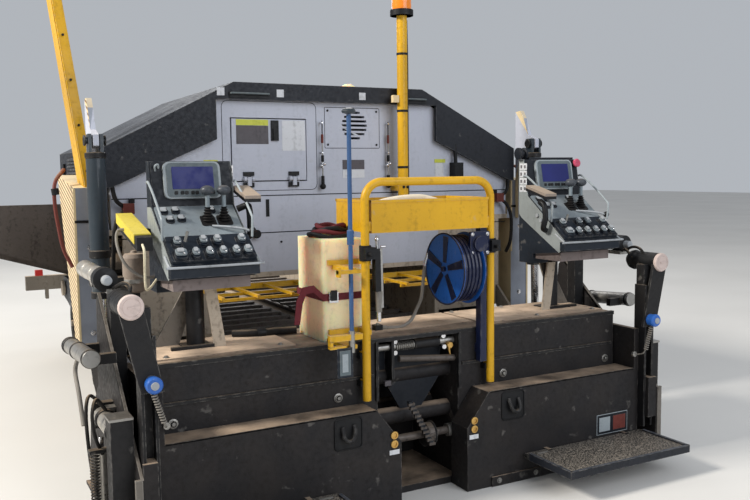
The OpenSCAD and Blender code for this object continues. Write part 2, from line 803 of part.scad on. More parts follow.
module reel_stand() {
    post_x = reel_x + reel_w + gap;
    post_w = 34;
    color("midnightblue") machine() {
        box([post_x, 90, 560], [post_x + post_w, 125, tray_low]);
        box([post_x, 120, reel_z - 25], [post_x + 12, reel_y + 30, reel_z + 25]);
        box([post_x, 120, 600], [post_x + post_w, screed_rear, 640]);
        rod_x(reel_x - 15, reel_y, reel_z, post_x + 6 - reel_x + 15, reel_axle_r);
    }
}

module hose_reel() {
    disc_wall = 4;
    color("royalblue") machine() translate([reel_x, reel_y, reel_z]) rotate([0, 90, 0]) difference() {
        union() {
            cylinder(h = disc_wall, r = reel_r);
            cylinder(h = reel_w, r = 70);
            translate([0, 0, reel_w - disc_wall]) cylinder(h = disc_wall, r = reel_r);
            translate([0, 0, disc_wall]) cylinder(h = reel_w - 2 * disc_wall, r = reel_r - 45);
        }
        translate([0, 0, -1]) cylinder(h = reel_w + 2, r = reel_axle_r + fit);
    }
}

module console_posts() {
    color("black") machine() for (x = [-console_x_left, console_x_right]) {
        rod_z(x, console_y, deck_z, console_low - deck_z - 0.3, 38);
        rod_z(x, console_y, deck_z, console_low - deck_z + 40, 25);
        box([x - 60, console_y - 60, deck_z], [x + 60, console_y + 60, deck_z + 12]);
    }
}

module console(x) {
    color("slategray") machine() difference() {
        side_plate(x - console_w / 2, console_w, [
            [console_y - 70, console_low], [console_y + 40, console_low], [console_y + 40, console_top],
            [console_y + 5, console_top], [console_y - 30, console_slope_top],
            [console_y - 310, console_edge], [console_y - 300, console_edge - 40],
            [console_y - 270, console_edge - 60], [console_y - 70, console_low + 50]
        ]);
        rod_z(x, console_y, console_low - 1, 46, 25 + fit);
    }
}

module extension(side) {
    color("dimgray") machine() on_side(side) {
        difference() {
            cross_plate(0, ext_d, [
                [170, 0], [170, 290], [286, ext_top], [end_plate_in, ext_top], [end_plate_in, 0]
            ]);
            cross_plate(screed_wall, ext_d, [
                [170 + screed_wall, 20], [170 + screed_wall, 285], [292, ext_top - screed_wall],
                [end_plate_in - screed_wall, ext_top - screed_wall], [end_plate_in - screed_wall, 20]
            ]);
        }
        box([end_plate_in, 0, 0], [ext_half, 560, 640]);
        // Hinge lugs and pin of the catwalk flap
        for (x = catwalk_lugs)
            box([x, -flap_axis - 14, catwalk_z - 26], [x + 20, 0, catwalk_z + 2]);
        rod_x(catwalk_lugs[0] - 60, -flap_axis, catwalk_z - 12, catwalk_lugs[1] - catwalk_lugs[0] + 140, 8);
        // Slide tubes that carry the extension in the main screed
        for (y = slide_y)
            rod_x(end_plate_in - slide_len, y, slide_z[side < 0 ? 0 : 1], slide_len, slide_r);
    }
}

module gate_guide(side) {
    color("black") machine() on_side(side) {
        difference() {
            box([ext_half, -40, 150], [ext_half + 60, 30, 860]);
            box([ext_half + 12, -41, 149], [ext_half + 48, 5, 861]);
        }
        box([ext_half, 470, 150], [ext_half + 60, 530, 1015]);
        // Slope motor above the guide, with its bracket
        box([ext_half, 470, 985], [ext_half + 128, 530, 1015]);
        rod_y(ext_half + 118, 255, 1040, 425, 34);
        // Handwheel, its arm and the knob at the arm's foot
        rod_y(ext_half + 86, -50, 970, 160, 45);
        box([ext_half + 10, -20, 850], [ext_half + 60, 30, 960]);
        cross_plate(-52, 14, [
            [ext_half - 22, 655], [ext_half + 62, 655], [ext_half + 130, 965], [ext_half + 42, 965]
        ]);
        rod_y(ext_half + 22, -80, 690, 30, 28);
    }
}

module end_gate(side) {
    x = ext_half + 66;
    slip = 0.3;
    color("dimgray") machine() on_side(side) {
        side_plate(x, 12, [
            [-60, 0], [-60, 350], [640, 930], [680, 900], [720, 520], [860, 400], [950, 330],
            [1020, 60], [980, 0]
        ]);
        box([x + 12, -60, 0], [x + 40, 980, 14]);
        // Upright tube and spring cylinder on the outer face
        box([x + 12, 20, 60], [x + 94, 110, 550]);
        rod_y(x + 57, 100, 480, 300, 36);
        box([x + 11, 330, 440], [x + 57, 380, 520]);
        box([ext_half + 12 + slip, -60, 200], [x, -45, 400]);
        box([ext_half + 12 + slip, -60, 200], [ext_half + 48 - slip, 5 - slip, 400]);
    }
}

module catwalk(side) {
    color("dimgray") machine() on_side(side) difference() {
        union() {
            box([480, -flap_axis - catwalk_d + 30, catwalk_z - 25], [ext_half, -flap_axis, catwalk_z]);
            rod_x(480, -flap_axis, catwalk_z - 12.5, ext_half - 480, 12.5);
        }
        rod_x(479, -flap_axis, catwalk_z - 12, ext_half, 8 + fit);
        for (x = catwalk_lugs)
            box([x - 3, -flap_axis - 26, catwalk_z - 40], [x + 23, 1, catwalk_z + 10]);
    }
}

chassis();
bulkhead();
side_panels();
corner_boxes();
engine();
conveyor();
push_beam();
front_axle();
rear_hubs();
auger_drive();
auger_grates();
masts();
hood();
service_door();
rear_tyre(-1);  // rear_tyre_left
rear_tyre(1);  // rear_tyre_right
rear_rim(-1);  // rear_rim_left
rear_rim(1);  // rear_rim_right
knuckle(-1);  // knuckle_left
knuckle(1);  // knuckle_right
front_wheel(-1);  // front_wheel_left
front_wheel(1);  // front_wheel_right
hopper_wing(-1);  // hopper_wing_left
hopper_wing(1);  // hopper_wing_right
push_roller(-1);  // push_roller_left
push_roller(1);  // push_roller_right
auger(-1);  // auger_left
auger(1);  // auger_right
lift_barrel(-1);  // lift_barrel_left
lift_barrel(1);  // lift_barrel_right
lift_rod(-1);  // lift_rod_left
lift_rod(1);  // lift_rod_right
tow_arms();
main_screed();
hoop_frame();
tool_tray();
wash_tank();
reel_stand();
console_posts();
hose_reel();
console(-console_x_left);  // console_left
console(console_x_right);  // console_right
extension(-1);  // extension_left
extension(1);  // extension_right
gate_guide(-1);  // gate_guide_left
gate_guide(1);  // gate_guide_right
end_gate(-1);  // end_gate_left
end_gate(1);  // end_gate_right
catwalk(-1);  // catwalk_left
catwalk(1);  // catwalk_right
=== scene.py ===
import math

import bmesh
import bpy
from mathutils import Matrix, Vector


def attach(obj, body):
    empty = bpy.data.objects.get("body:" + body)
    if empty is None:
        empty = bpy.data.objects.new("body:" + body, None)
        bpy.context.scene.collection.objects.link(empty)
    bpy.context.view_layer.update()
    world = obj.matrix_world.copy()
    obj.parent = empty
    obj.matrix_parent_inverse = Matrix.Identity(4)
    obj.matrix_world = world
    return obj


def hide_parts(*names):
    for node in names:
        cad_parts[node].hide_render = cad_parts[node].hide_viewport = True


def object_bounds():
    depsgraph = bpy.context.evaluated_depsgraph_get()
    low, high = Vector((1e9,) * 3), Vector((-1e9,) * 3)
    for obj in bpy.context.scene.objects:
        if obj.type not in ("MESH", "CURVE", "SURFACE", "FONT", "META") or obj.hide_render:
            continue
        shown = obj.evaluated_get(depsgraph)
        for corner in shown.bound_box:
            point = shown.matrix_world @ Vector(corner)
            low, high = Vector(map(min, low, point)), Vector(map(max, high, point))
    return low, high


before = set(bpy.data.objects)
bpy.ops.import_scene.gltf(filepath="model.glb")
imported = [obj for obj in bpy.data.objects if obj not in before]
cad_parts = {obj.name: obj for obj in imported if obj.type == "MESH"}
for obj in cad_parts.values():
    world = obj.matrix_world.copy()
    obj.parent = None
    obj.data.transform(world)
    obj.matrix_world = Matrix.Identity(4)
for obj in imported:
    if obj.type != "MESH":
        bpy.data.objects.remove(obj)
cad_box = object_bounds()

# Places below are in metres: X to the right, Y forward from the rear face of the extensions, Z up
SCREED_REAR = 0.136
CATWALK_REACH = 0.33
REAR = cad_box[0][1] + CATWALK_REACH
SIDES = (("left", -1), ("right", 1))

# Faces of the frame that details are fastened to
WALL_Y = 1.01
DOOR_Y = 1.006
LATCHES_X = (-0.462, -0.218)
HOOD_Y = 0.97
HOOD_X = 1.17
DECK_Z = 0.71
CONSOLE_HALF = 0.175
CONSOLE_X = {"left": -0.93, "right": 0.97}
MAST_X = 0.385
MAST_Y = 0.92
MAST_TOP = 2.255
LIFT_X = 1.224
HOOP_X = 0.04
HOOP_HALF = 0.322
REEL_PLACE = (0.183, 0.2, 0.985)
REEL_WIDTH = 0.114
CHAIN_LINKS = 22
GATE_EDGE = 1.278

# Centres as (x, z) of what turns about Y, then as (y, z) of what turns about X
HANDWHEEL = (1.286, 0.97)
BLUE_KNOB = (1.222, 0.69)
SLOPE_MOTOR = (1.318, 1.04)
REAR_AXLE = (1.9, 0.56)
FRONT_AXLE = (3.9, 0.27)


# Camera

VIEW_PLACE = (-1.9, -3.01, 1.43)
VIEW_HEADING = math.radians(28.2)
VIEW_DOWN = math.radians(5.3)
VIEW_ROLL = math.radians(-0.7)
FOCAL_PIXELS = 837
PHOTO_WIDTH = 750


def make_camera():
    data = bpy.data.cameras.new("camera")
    data.sensor_width = 36
    data.lens = FOCAL_PIXELS / PHOTO_WIDTH * data.sensor_width
    camera = bpy.data.objects.new("camera", data)
    bpy.context.scene.collection.objects.link(camera)
    turn = (
        Matrix.Rotation(-VIEW_HEADING, 4, "Z")
        @ Matrix.Rotation(math.pi / 2 - VIEW_DOWN, 4, "X")
        @ Matrix.Rotation(VIEW_ROLL, 4, "Z")
    )
    camera.matrix_world = Matrix.Translation(Vector(VIEW_PLACE) + Vector((0, REAR, 0))) @ turn
    bpy.context.scene.camera = camera


make_camera()


# Materials


def srgb(red, green, blue):
    def channel(value):
        value = value / 255
        if value <= 0.04045:
            return value / 12.92
        return ((value + 0.055) / 1.055) ** 2.4

    return (channel(red), channel(green), channel(blue), 1.0)


class Shader:
    """A procedural material, put together node by node."""

    def __init__(self, name):
        self.material = bpy.data.materials.new(name)
        self.material.use_nodes = True
        self.tree = self.material.node_tree
        self.surface = self.tree.nodes["Principled BSDF"]
        self.place = self.node("ShaderNodeTexCoord", "Object")

    def feed(self, node, inputs):
        for name, value in inputs.items():
            if isinstance(value, bpy.types.NodeSocket):
                self.tree.links.new(value, node.inputs[name])
            else:
                node.inputs[name].default_value = value

    def node(self, kind, output, inputs=None, **settings):
        """Add a node with its settings and inputs, and give one of its outputs."""
        made = self.tree.nodes.new(kind)
        for name, value in settings.items():
            setattr(made, name, value)
        self.feed(made, inputs or {})
        return made.outputs[output]

    def stretched(self, x, y, z):
        return self.node("ShaderNodeMapping", "Vector", {"Vector": self.place, "Scale": (x, y, z)})

    def noise(self, scale, detail=4.0, place=None):
        inputs = {"Vector": place or self.place, "Scale": scale, "Detail": detail}
        return self.node("ShaderNodeTexNoise", "Fac", inputs)

    def spread(self, value, low, high, to_low=0.0, to_high=1.0):
        inputs = {"Value": value, "From Min": low, "From Max": high, "To Min": to_low, "To Max": to_high}
        return self.node("ShaderNodeMapRange", "Result", inputs, clamp=True)

    def combine(self, operation, a, b):
        return self.node("ShaderNodeMath", "Value", {0: a, 1: b}, operation=operation)

    def mix(self, amount, a, b):
        return self.node("ShaderNodeMix", 2, {0: amount, 6: a, 7: b}, data_type="RGBA")

    def facing(self, axis):
        normal = self.node("ShaderNodeNewGeometry", "Normal")
        return self.node("ShaderNodeSeparateXYZ", axis, {0: normal})

    def edges(self, radius):
        """1 on worn edges and 0 on flat faces."""
        soft = self.node("ShaderNodeBevel", "Normal", {"Radius": radius}, samples=4)
        flat = self.node("ShaderNodeNewGeometry", "Normal")
        dot = self.node("ShaderNodeVectorMath", "Value", {0: soft, 1: flat}, operation="DOT_PRODUCT")
        return self.spread(dot, 0.995, 0.88)

    def finish(self, colour, roughness, height, strength=0.25, distance=0.002):
        inputs = {"Strength": strength, "Distance": distance, "Height": height}
        bump = self.node("ShaderNodeBump", "Normal", inputs)
        self.feed(self.surface, {"Base Color": colour, "Roughness": roughness, "Normal": bump})
        return self.material


DUST = srgb(205, 180, 150)
BARE_STEEL = srgb(150, 146, 140)
SHINE = 0.25


def shade(colour, factor):
    return tuple(min(1.0, channel * factor) for channel in colour[:3]) + (1.0,)


def coated(
    name, rgb, rough=0.45, metal=0.0, mottle=0.18, dust=0.0, dust_rgb=DUST, wear=0.0, grime=0.3,
    grain=160.0, bump=0.25, coat=0.0, depth=0.0,
):
    """A painted or moulded surface with mottling, grime, settled dust and worn edges."""
    shader = Shader(name)
    base = srgb(*rgb)
    fine = shader.noise(55.0, 6.0)
    broad = shader.spread(shader.noise(2.3, 6.0), 0.3, 0.7)
    colour = shader.mix(broad, shade(base, 1 - mottle), shade(base, 1 + mottle))
    streaks = shader.noise(5.0, 6.0, shader.stretched(6, 6, 0.7))
    dirt = shader.spread(shader.combine("MULTIPLY", streaks, fine), 0.26, 0.42, 0.0, grime)
    colour = shader.mix(dirt, colour, shade(base, 0.45))
    if wear:
        chips = shader.spread(shader.noise(38.0, 8.0), 0.42, 0.62)
        rubbed = shader.combine("MULTIPLY", shader.edges(0.006), chips)
        scratches = shader.spread(shader.noise(17.0, 12.0), 0.66, 0.72, 0.0, 0.5)
        amount = shader.combine("MULTIPLY", shader.combine("MAXIMUM", rubbed, scratches), wear)
        colour = shader.mix(amount, colour, BARE_STEEL)
    if dust:
        upward = shader.spread(shader.facing("Z"), 0.6, 0.98, 0.03, 1.0)
        patches = shader.spread(shader.noise(7.0, 8.0), 0.34, 0.66, 0.25, 1.0)
        amount = shader.combine("MULTIPLY", shader.combine("MULTIPLY", upward, patches), dust)
        colour = shader.mix(amount, colour, dust_rgb)
    shader.feed(shader.surface, {
        "Metallic": metal, "Coat Weight": coat, "Specular IOR Level": SHINE,
        "Subsurface Weight": depth, "Subsurface Scale": 0.25,
    })
    roughness = shader.spread(fine, 0.3, 0.7, max(rough - 0.1, 0.05), min(rough + 0.15, 1.0))
    height = shader.combine("ADD", shader.noise(grain), shader.combine("MULTIPLY", fine, 0.6))
    return shader.finish(colour, roughness, height, bump)


# Colour as red, green, blue, then what differs from the plain coat
COATS = {
    "body_white": dict(rgb=(176, 180, 192), dust=0.25, grime=0.16, mottle=0.05, wear=0.3),
    "panel_cream": dict(rgb=(214, 192, 150), dust=0.3, mottle=0.08),
    # Charcoal's upward faces turn a light blue-grey: settled dust and painted sunlight on the tops
    "charcoal": dict(
        rgb=(26, 29, 36), dust=0.5, dust_rgb=srgb(100, 104, 112), wear=0.5, rough=0.5, grime=0.5
    ),
    "frame_grey": dict(rgb=(112, 106, 98), dust=0.6, wear=0.5, rough=0.6, grime=0.7),
    "frame_dirt": dict(rgb=(172, 160, 144), dust=0.6, rough=0.8, grime=0.9, bump=0.6),
    "screed_dark": dict(
        rgb=(22, 22, 25), dust=0.8, dust_rgb=srgb(176, 154, 132), wear=0.4, rough=0.6, grime=0.6
    ),
    "yellow": dict(rgb=(196, 150, 22), dust=0.15, wear=0.5, rough=0.4, grime=0.5, coat=0.1),
    "black_paint": dict(rgb=(18, 19, 22), dust=0.25, wear=0.4, rough=0.5),
    "black_plastic": dict(rgb=(14, 15, 18), dust=0.03, rough=0.5, grain=420.0),
    "rubber": dict(rgb=(20, 20, 21), dust=0.4, rough=0.75, grain=90.0, bump=0.5),
    "cylinder_grey": dict(rgb=(40, 50, 58), dust=0.2, wear=0.3, rough=0.4, coat=0.2),
    "tank_plastic": dict(rgb=(240, 212, 172), dust=0.15, mottle=0.06, rough=0.5, depth=0.7),
    "navy": dict(rgb=(12, 22, 52), dust=0.08, wear=0.25, rough=0.35, coat=0.2),
    "reel_blue": dict(rgb=(30, 92, 176), dust=0.08, wear=0.3, rough=0.35, coat=0.3),
    "rod_blue": dict(rgb=(48, 78, 118), dust=0.1, wear=0.5, rough=0.4),
    "console_grey": dict(rgb=(70, 78, 86), dust=0.15, wear=0.35, rough=0.55, grain=260.0),
    "console_pale": dict(rgb=(112, 122, 128), dust=0.1, wear=0.3, rough=0.5, grain=260.0),
    "console_side": dict(rgb=(132, 138, 138), dust=0.15, wear=0.3, rough=0.5, grain=260.0),
    "console_dark": dict(rgb=(22, 29, 38), wear=0.35, rough=0.5, grain=260.0),
    "head_black": dict(rgb=(13, 18, 26), wear=0.2, rough=0.5, grain=260.0),
    "bezel": dict(rgb=(84, 94, 98), dust=0.1, wear=0.3),
    "bezel_rim": dict(rgb=(138, 146, 150), dust=0.1, wear=0.2, rough=0.4),
    "ball_grey": dict(rgb=(60, 64, 70), dust=0.1, rough=0.4, grime=0.4),
    "under_brown": dict(rgb=(110, 100, 98), dust=0.3, rough=0.7, grime=0.6),
    "knob_pale": dict(rgb=(150, 154, 158), dust=0.1, rough=0.4, grime=0.6),
    "strap_maroon": dict(rgb=(92, 36, 42), rough=0.85, grain=520.0, bump=0.8),
    "red": dict(rgb=(176, 44, 44), rough=0.4, dust=0.15),
    "stop_red": dict(rgb=(176, 66, 92), rough=0.35, coat=0.4),
    "dark_red": dict(rgb=(96, 44, 38), rough=0.6, dust=0.3),
    "label_pale": dict(rgb=(196, 198, 202), rough=0.4, grime=0.5, mottle=0.06),
    "label_grey": dict(rgb=(78, 74, 78), rough=0.4, grime=0.5),
    "label_lime": dict(rgb=(186, 190, 70), rough=0.4, grime=0.4, mottle=0.06),
    "disc_pink": dict(rgb=(182, 166, 160), rough=0.6, grime=0.4, dust=0.2),
    "brass": dict(rgb=(196, 158, 92), rough=0.35, metal=0.9),
    "steel": dict(rgb=(150, 148, 144), rough=0.38, metal=0.85, grime=0.5, dust=0.2),
    "bright_steel": dict(rgb=(206, 206, 208), rough=0.16, metal=1.0, grime=0.2),
    "worn_steel": dict(rgb=(84, 78, 74), rough=0.5, metal=0.5, grime=0.8, dust=0.25, bump=0.6),
    "aluminium": dict(rgb=(186, 182, 174), rough=0.34, metal=0.8, grime=0.4, dust=0.2),
    "lens_amber": dict(rgb=(226, 126, 24), rough=0.2, coat=0.6, grime=0.2),
    "lens_clear": dict(rgb=(214, 220, 224), rough=0.1, coat=0.8, grime=0.1),
    "knob_blue": dict(rgb=(40, 92, 170), rough=0.3, coat=0.4),
    "paper": dict(rgb=(226, 214, 192), rough=0.9, grime=0.2, mottle=0.05),
    "engine_dark": dict(rgb=(50, 52, 54), rough=0.6, grime=0.7, dust=0.4),
    "hose_grey": dict(rgb=(120, 116, 110), rough=0.7, dust=0.3, grain=300.0),
    "brown_pad": dict(rgb=(134, 122, 112), rough=0.7, dust=0.3),
    "worn_pale": dict(rgb=(106, 101, 95), rough=0.6, metal=0.3, grime=0.9, dust=0.15, wear=0.8, bump=0.6),
    # Deck tops: pale dust and painted sunlight
    "deck_dust": dict(rgb=(140, 124, 108), dust=1.0, dust_rgb=srgb(214, 188, 162), rough=0.8, grime=0.8),
    "sensor_yellow": dict(rgb=(196, 178, 62), dust=0.1, grime=0.4),
    "cord_pale": dict(rgb=(214, 204, 176), rough=0.7, grime=0.5),
}
PAINT = {name: coated(name, **values) for name, values in COATS.items()}


def display_glass():
    """Dark blue screen with a faint broad painted sheen and fingerprints."""
    shader = Shader("display_glass")
    smears = shader.spread(shader.noise(24.0, 6.0), 0.45, 0.7)
    # Broad lighter blue patches: the painted sheen
    colour = shader.mix(shader.spread(shader.noise(5.0), 0.3, 0.7), srgb(24, 30, 84), srgb(36, 42, 104))
    shader.feed(shader.surface, {"Specular IOR Level": 0.2})
    return shader.finish(colour, shader.spread(smears, 0.0, 1.0, 0.35, 0.6), smears, 0.05, 0.0005)


def hatched_cream():
    """Cream sheet with a fine pressed hatch on its outer face, its grooves darkened as painted shade, grey
    where it faces rearward.
    """
    shader = Shader("hatched_cream")
    wave = shader.node(
        "ShaderNodeTexWave", "Fac", {"Vector": shader.stretched(0, 0.3, -1), "Scale": 26.0},
        wave_type="BANDS", bands_direction="DIAGONAL",
    )
    sideways = shader.node("ShaderNodeSeparateXYZ", "X", {0: shader.place})
    side = shader.spread(shader.combine("MULTIPLY", shader.facing("X"), sideways), 0.8, 0.9)
    grooves = shader.combine("MULTIPLY", shader.spread(wave, 0.55, 0.2), side)
    # Painted shade: the hatch's grooves are darkened to brown
    cream = shader.mix(grooves, srgb(214, 194, 154), srgb(112, 86, 62))
    dirt = shader.spread(shader.noise(9.0, 8.0), 0.45, 0.75, 0.0, 0.5)
    cream = shader.mix(dirt, cream, srgb(150, 130, 102))
    grey = shader.mix(dirt, srgb(142, 148, 160), srgb(104, 106, 112))
    colour = shader.mix(shader.spread(shader.facing("Y"), -0.8, -0.9), cream, grey)
    return shader.finish(colour, 0.55, shader.combine("SUBTRACT", 1.0, grooves), 0.8, 0.004)


def grating():
    """Expanded steel tread: raised worn strands, with the holes between them painted near black as shade."""
    shader = Shader("grating")
    cells = shader.node(
        "ShaderNodeTexVoronoi", "Distance", {"Vector": shader.stretched(1.6, 1, 1), "Scale": 70.0},
        feature="DISTANCE_TO_EDGE",
    )
    strands = shader.spread(cells, 0.16, 0.08)
    # Painted shade: the holes between the strands are near black
    tread = shader.mix(strands, srgb(26, 25, 24), srgb(122, 114, 104))
    colour = shader.mix(shader.spread(shader.facing("Z"), 0.6, 0.9), srgb(60, 58, 56), tread)
    return shader.finish(colour, 0.6, strands, 0.9, 0.006)


PAINT["display"] = display_glass()
PAINT["hatched_cream"] = hatched_cream()
PAINT["grating"] = grating()


# Finishes of the frame's own pieces, by node name without its side

NODE_PAINT = {
    "chassis": "frame_dirt", "bulkhead": "body_white", "side_panels": "body_white",
    "corner_boxes": "hatched_cream", "engine": "engine_dark", "conveyor": "worn_steel",
    "push_beam": "frame_grey", "front_axle": "frame_grey", "rear_hubs": "frame_grey",
    "auger_drive": "frame_grey", "auger_grates": "yellow", "masts": "yellow", "hood": "charcoal",
    "service_door": "body_white", "rear_tyre": "rubber", "rear_rim": "yellow",
    "knuckle": "frame_grey", "front_wheel": "rubber", "hopper_wing": "worn_steel",
    "push_roller": "worn_steel", "auger": "worn_steel", "lift_barrel": "cylinder_grey",
    "lift_rod": "bright_steel", "tow_arms": "charcoal", "main_screed": "screed_dark",
    "hoop_frame": "yellow", "tool_tray": "yellow", "wash_tank": "tank_plastic",
    "reel_stand": "navy", "console_posts": "black_paint", "hose_reel": "reel_blue",
    "console": "console_grey", "extension": "screed_dark", "gate_guide": "black_paint",
    "end_gate": "screed_dark", "catwalk": "grating",
}


def plain_name(node):
    return node.removesuffix("_left").removesuffix("_right")


for node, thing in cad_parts.items():
    thing.data.materials.clear()
    thing.data.materials.append(PAINT[NODE_PAINT[plain_name(node)]])


# Parts of those pieces with another finish: node, paint, low and high corner; X counts from the middle

PART_PAINTS = (
    ("gate_guide", "aluminium", (1.27, 0.34, 1.0), (1.37, 0.7, 1.08)),
    ("gate_guide", "black_plastic", (1.23, -0.06, 0.92), (1.34, 0.12, 1.02)),
    ("gate_guide", "knob_blue", (1.19, -0.09, 0.65), (1.255, -0.053, 0.725)),
    ("corner_boxes", "body_white", (1.15, 0.7, 1.5), (1.3, 1.1, 1.7)),
    ("service_door", "black_paint", (0.2, 0.98, 0.9), (0.5, 1.004, 1.1)),
    ("masts", "black_paint", (0.33, 0.86, 2.2), (0.44, 0.98, 2.27)),
    ("masts", "lens_amber", (0.33, 0.86, 2.27), (0.44, 0.98, 2.5)),
    ("side_panels", "black_paint", (0.85, 2.345, 1.4), (1.05, 2.42, 1.54)),
    ("main_screed", "worn_steel", (-0.01, 0.09, 0.18), (0.26, 0.2, 0.31)),
    ("main_screed", "steel", (-0.01, 0.15, 0.63), (0.19, 0.21, 0.69)),
    ("end_gate", "aluminium", (1.285, 0.095, 0.44), (1.365, 0.405, 0.52)),
    ("end_gate", "black_paint", (1.279, 0.01, 0.05), (1.37, 0.115, 0.56)),
)


def paint_part(thing, paint, low, high):
    """Give a paint to the faces whose middles lie in a box."""
    mesh = thing.data
    mesh.materials.append(PAINT[paint])
    for face in mesh.polygons:
        middle = thing.matrix_world @ face.center
        place = (abs(middle.x), middle.y - REAR, middle.z)
        if all(a <= value <= b for a, value, b in zip(low, place, high)):
            face.material_index = len(mesh.materials) - 1


for node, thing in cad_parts.items():
    for painted, paint, low, high in PART_PAINTS:
        if plain_name(node) == painted:
            paint_part(thing, paint, low, high)


# Mesh drawing

RIGHT = Vector((1, 0, 0))
AHEAD = Vector((0, 1, 0))
UP = Vector((0, 0, 1))


def smooth_path(points, steps=6):
    """Points on a smooth curve through the given ones."""
    points = [Vector(point) for point in points]
    ends = [points[0] * 2 - points[1]] + points + [points[-1] * 2 - points[-2]]
    path = []
    for a, b, c, d in zip(ends, ends[1:], ends[2:], ends[3:]):
        for step in range(steps):
            t = step / steps
            bend = (2 * a - 5 * b + 4 * c - d) * t * t + (3 * b - a - 3 * c + d) * t ** 3
            path.append(0.5 * (2 * b + (c - a) * t + bend))
    path.append(points[-1])
    return path


def circle(centre, across, other, radius, count):
    """Points round a centre, in the plane of two unit vectors."""
    turns = [math.tau * k / count for k in range(count)]
    return [Vector(centre) + (across * math.cos(turn) + other * math.sin(turn)) * radius for turn in turns]


def coil(start, end, across, other, radius, count, steps):
    """Points of a spring from start to end, with a number of steps to each turn."""
    points = []
    for k in range(count):
        turn = math.tau * k / steps
        middle = Vector(start).lerp(Vector(end), k / (count - 1))
        points.append(middle + (across * math.cos(turn) + other * math.sin(turn)) * radius)
    return points


def rounded(low, high, radius, steps=4):
    """Corner points of a rectangle with round corners."""
    corners = (
        (high[0] - radius, high[1] - radius, 0), (low[0] + radius, high[1] - radius, 90),
        (low[0] + radius, low[1] + radius, 180), (high[0] - radius, low[1] + radius, 270),
    )
    outline = []
    for x, y, start in corners:
        for step in range(steps + 1):
            angle = math.radians(start + 90 * step / steps)
            outline.append((x + radius * math.cos(angle), y + radius * math.sin(angle)))
    return outline


def across_axis(axis, level, outline):
    """An outline drawn across an axis, at a level along it."""
    order = {"x": (1, 2, 0), "y": (0, 2, 1), "z": (0, 1, 2)}[axis]
    points = []
    for a, b in outline:
        point = [0, 0, 0]
        point[order[0]], point[order[1]], point[order[2]] = a, b, level
        points.append(point)
    return points


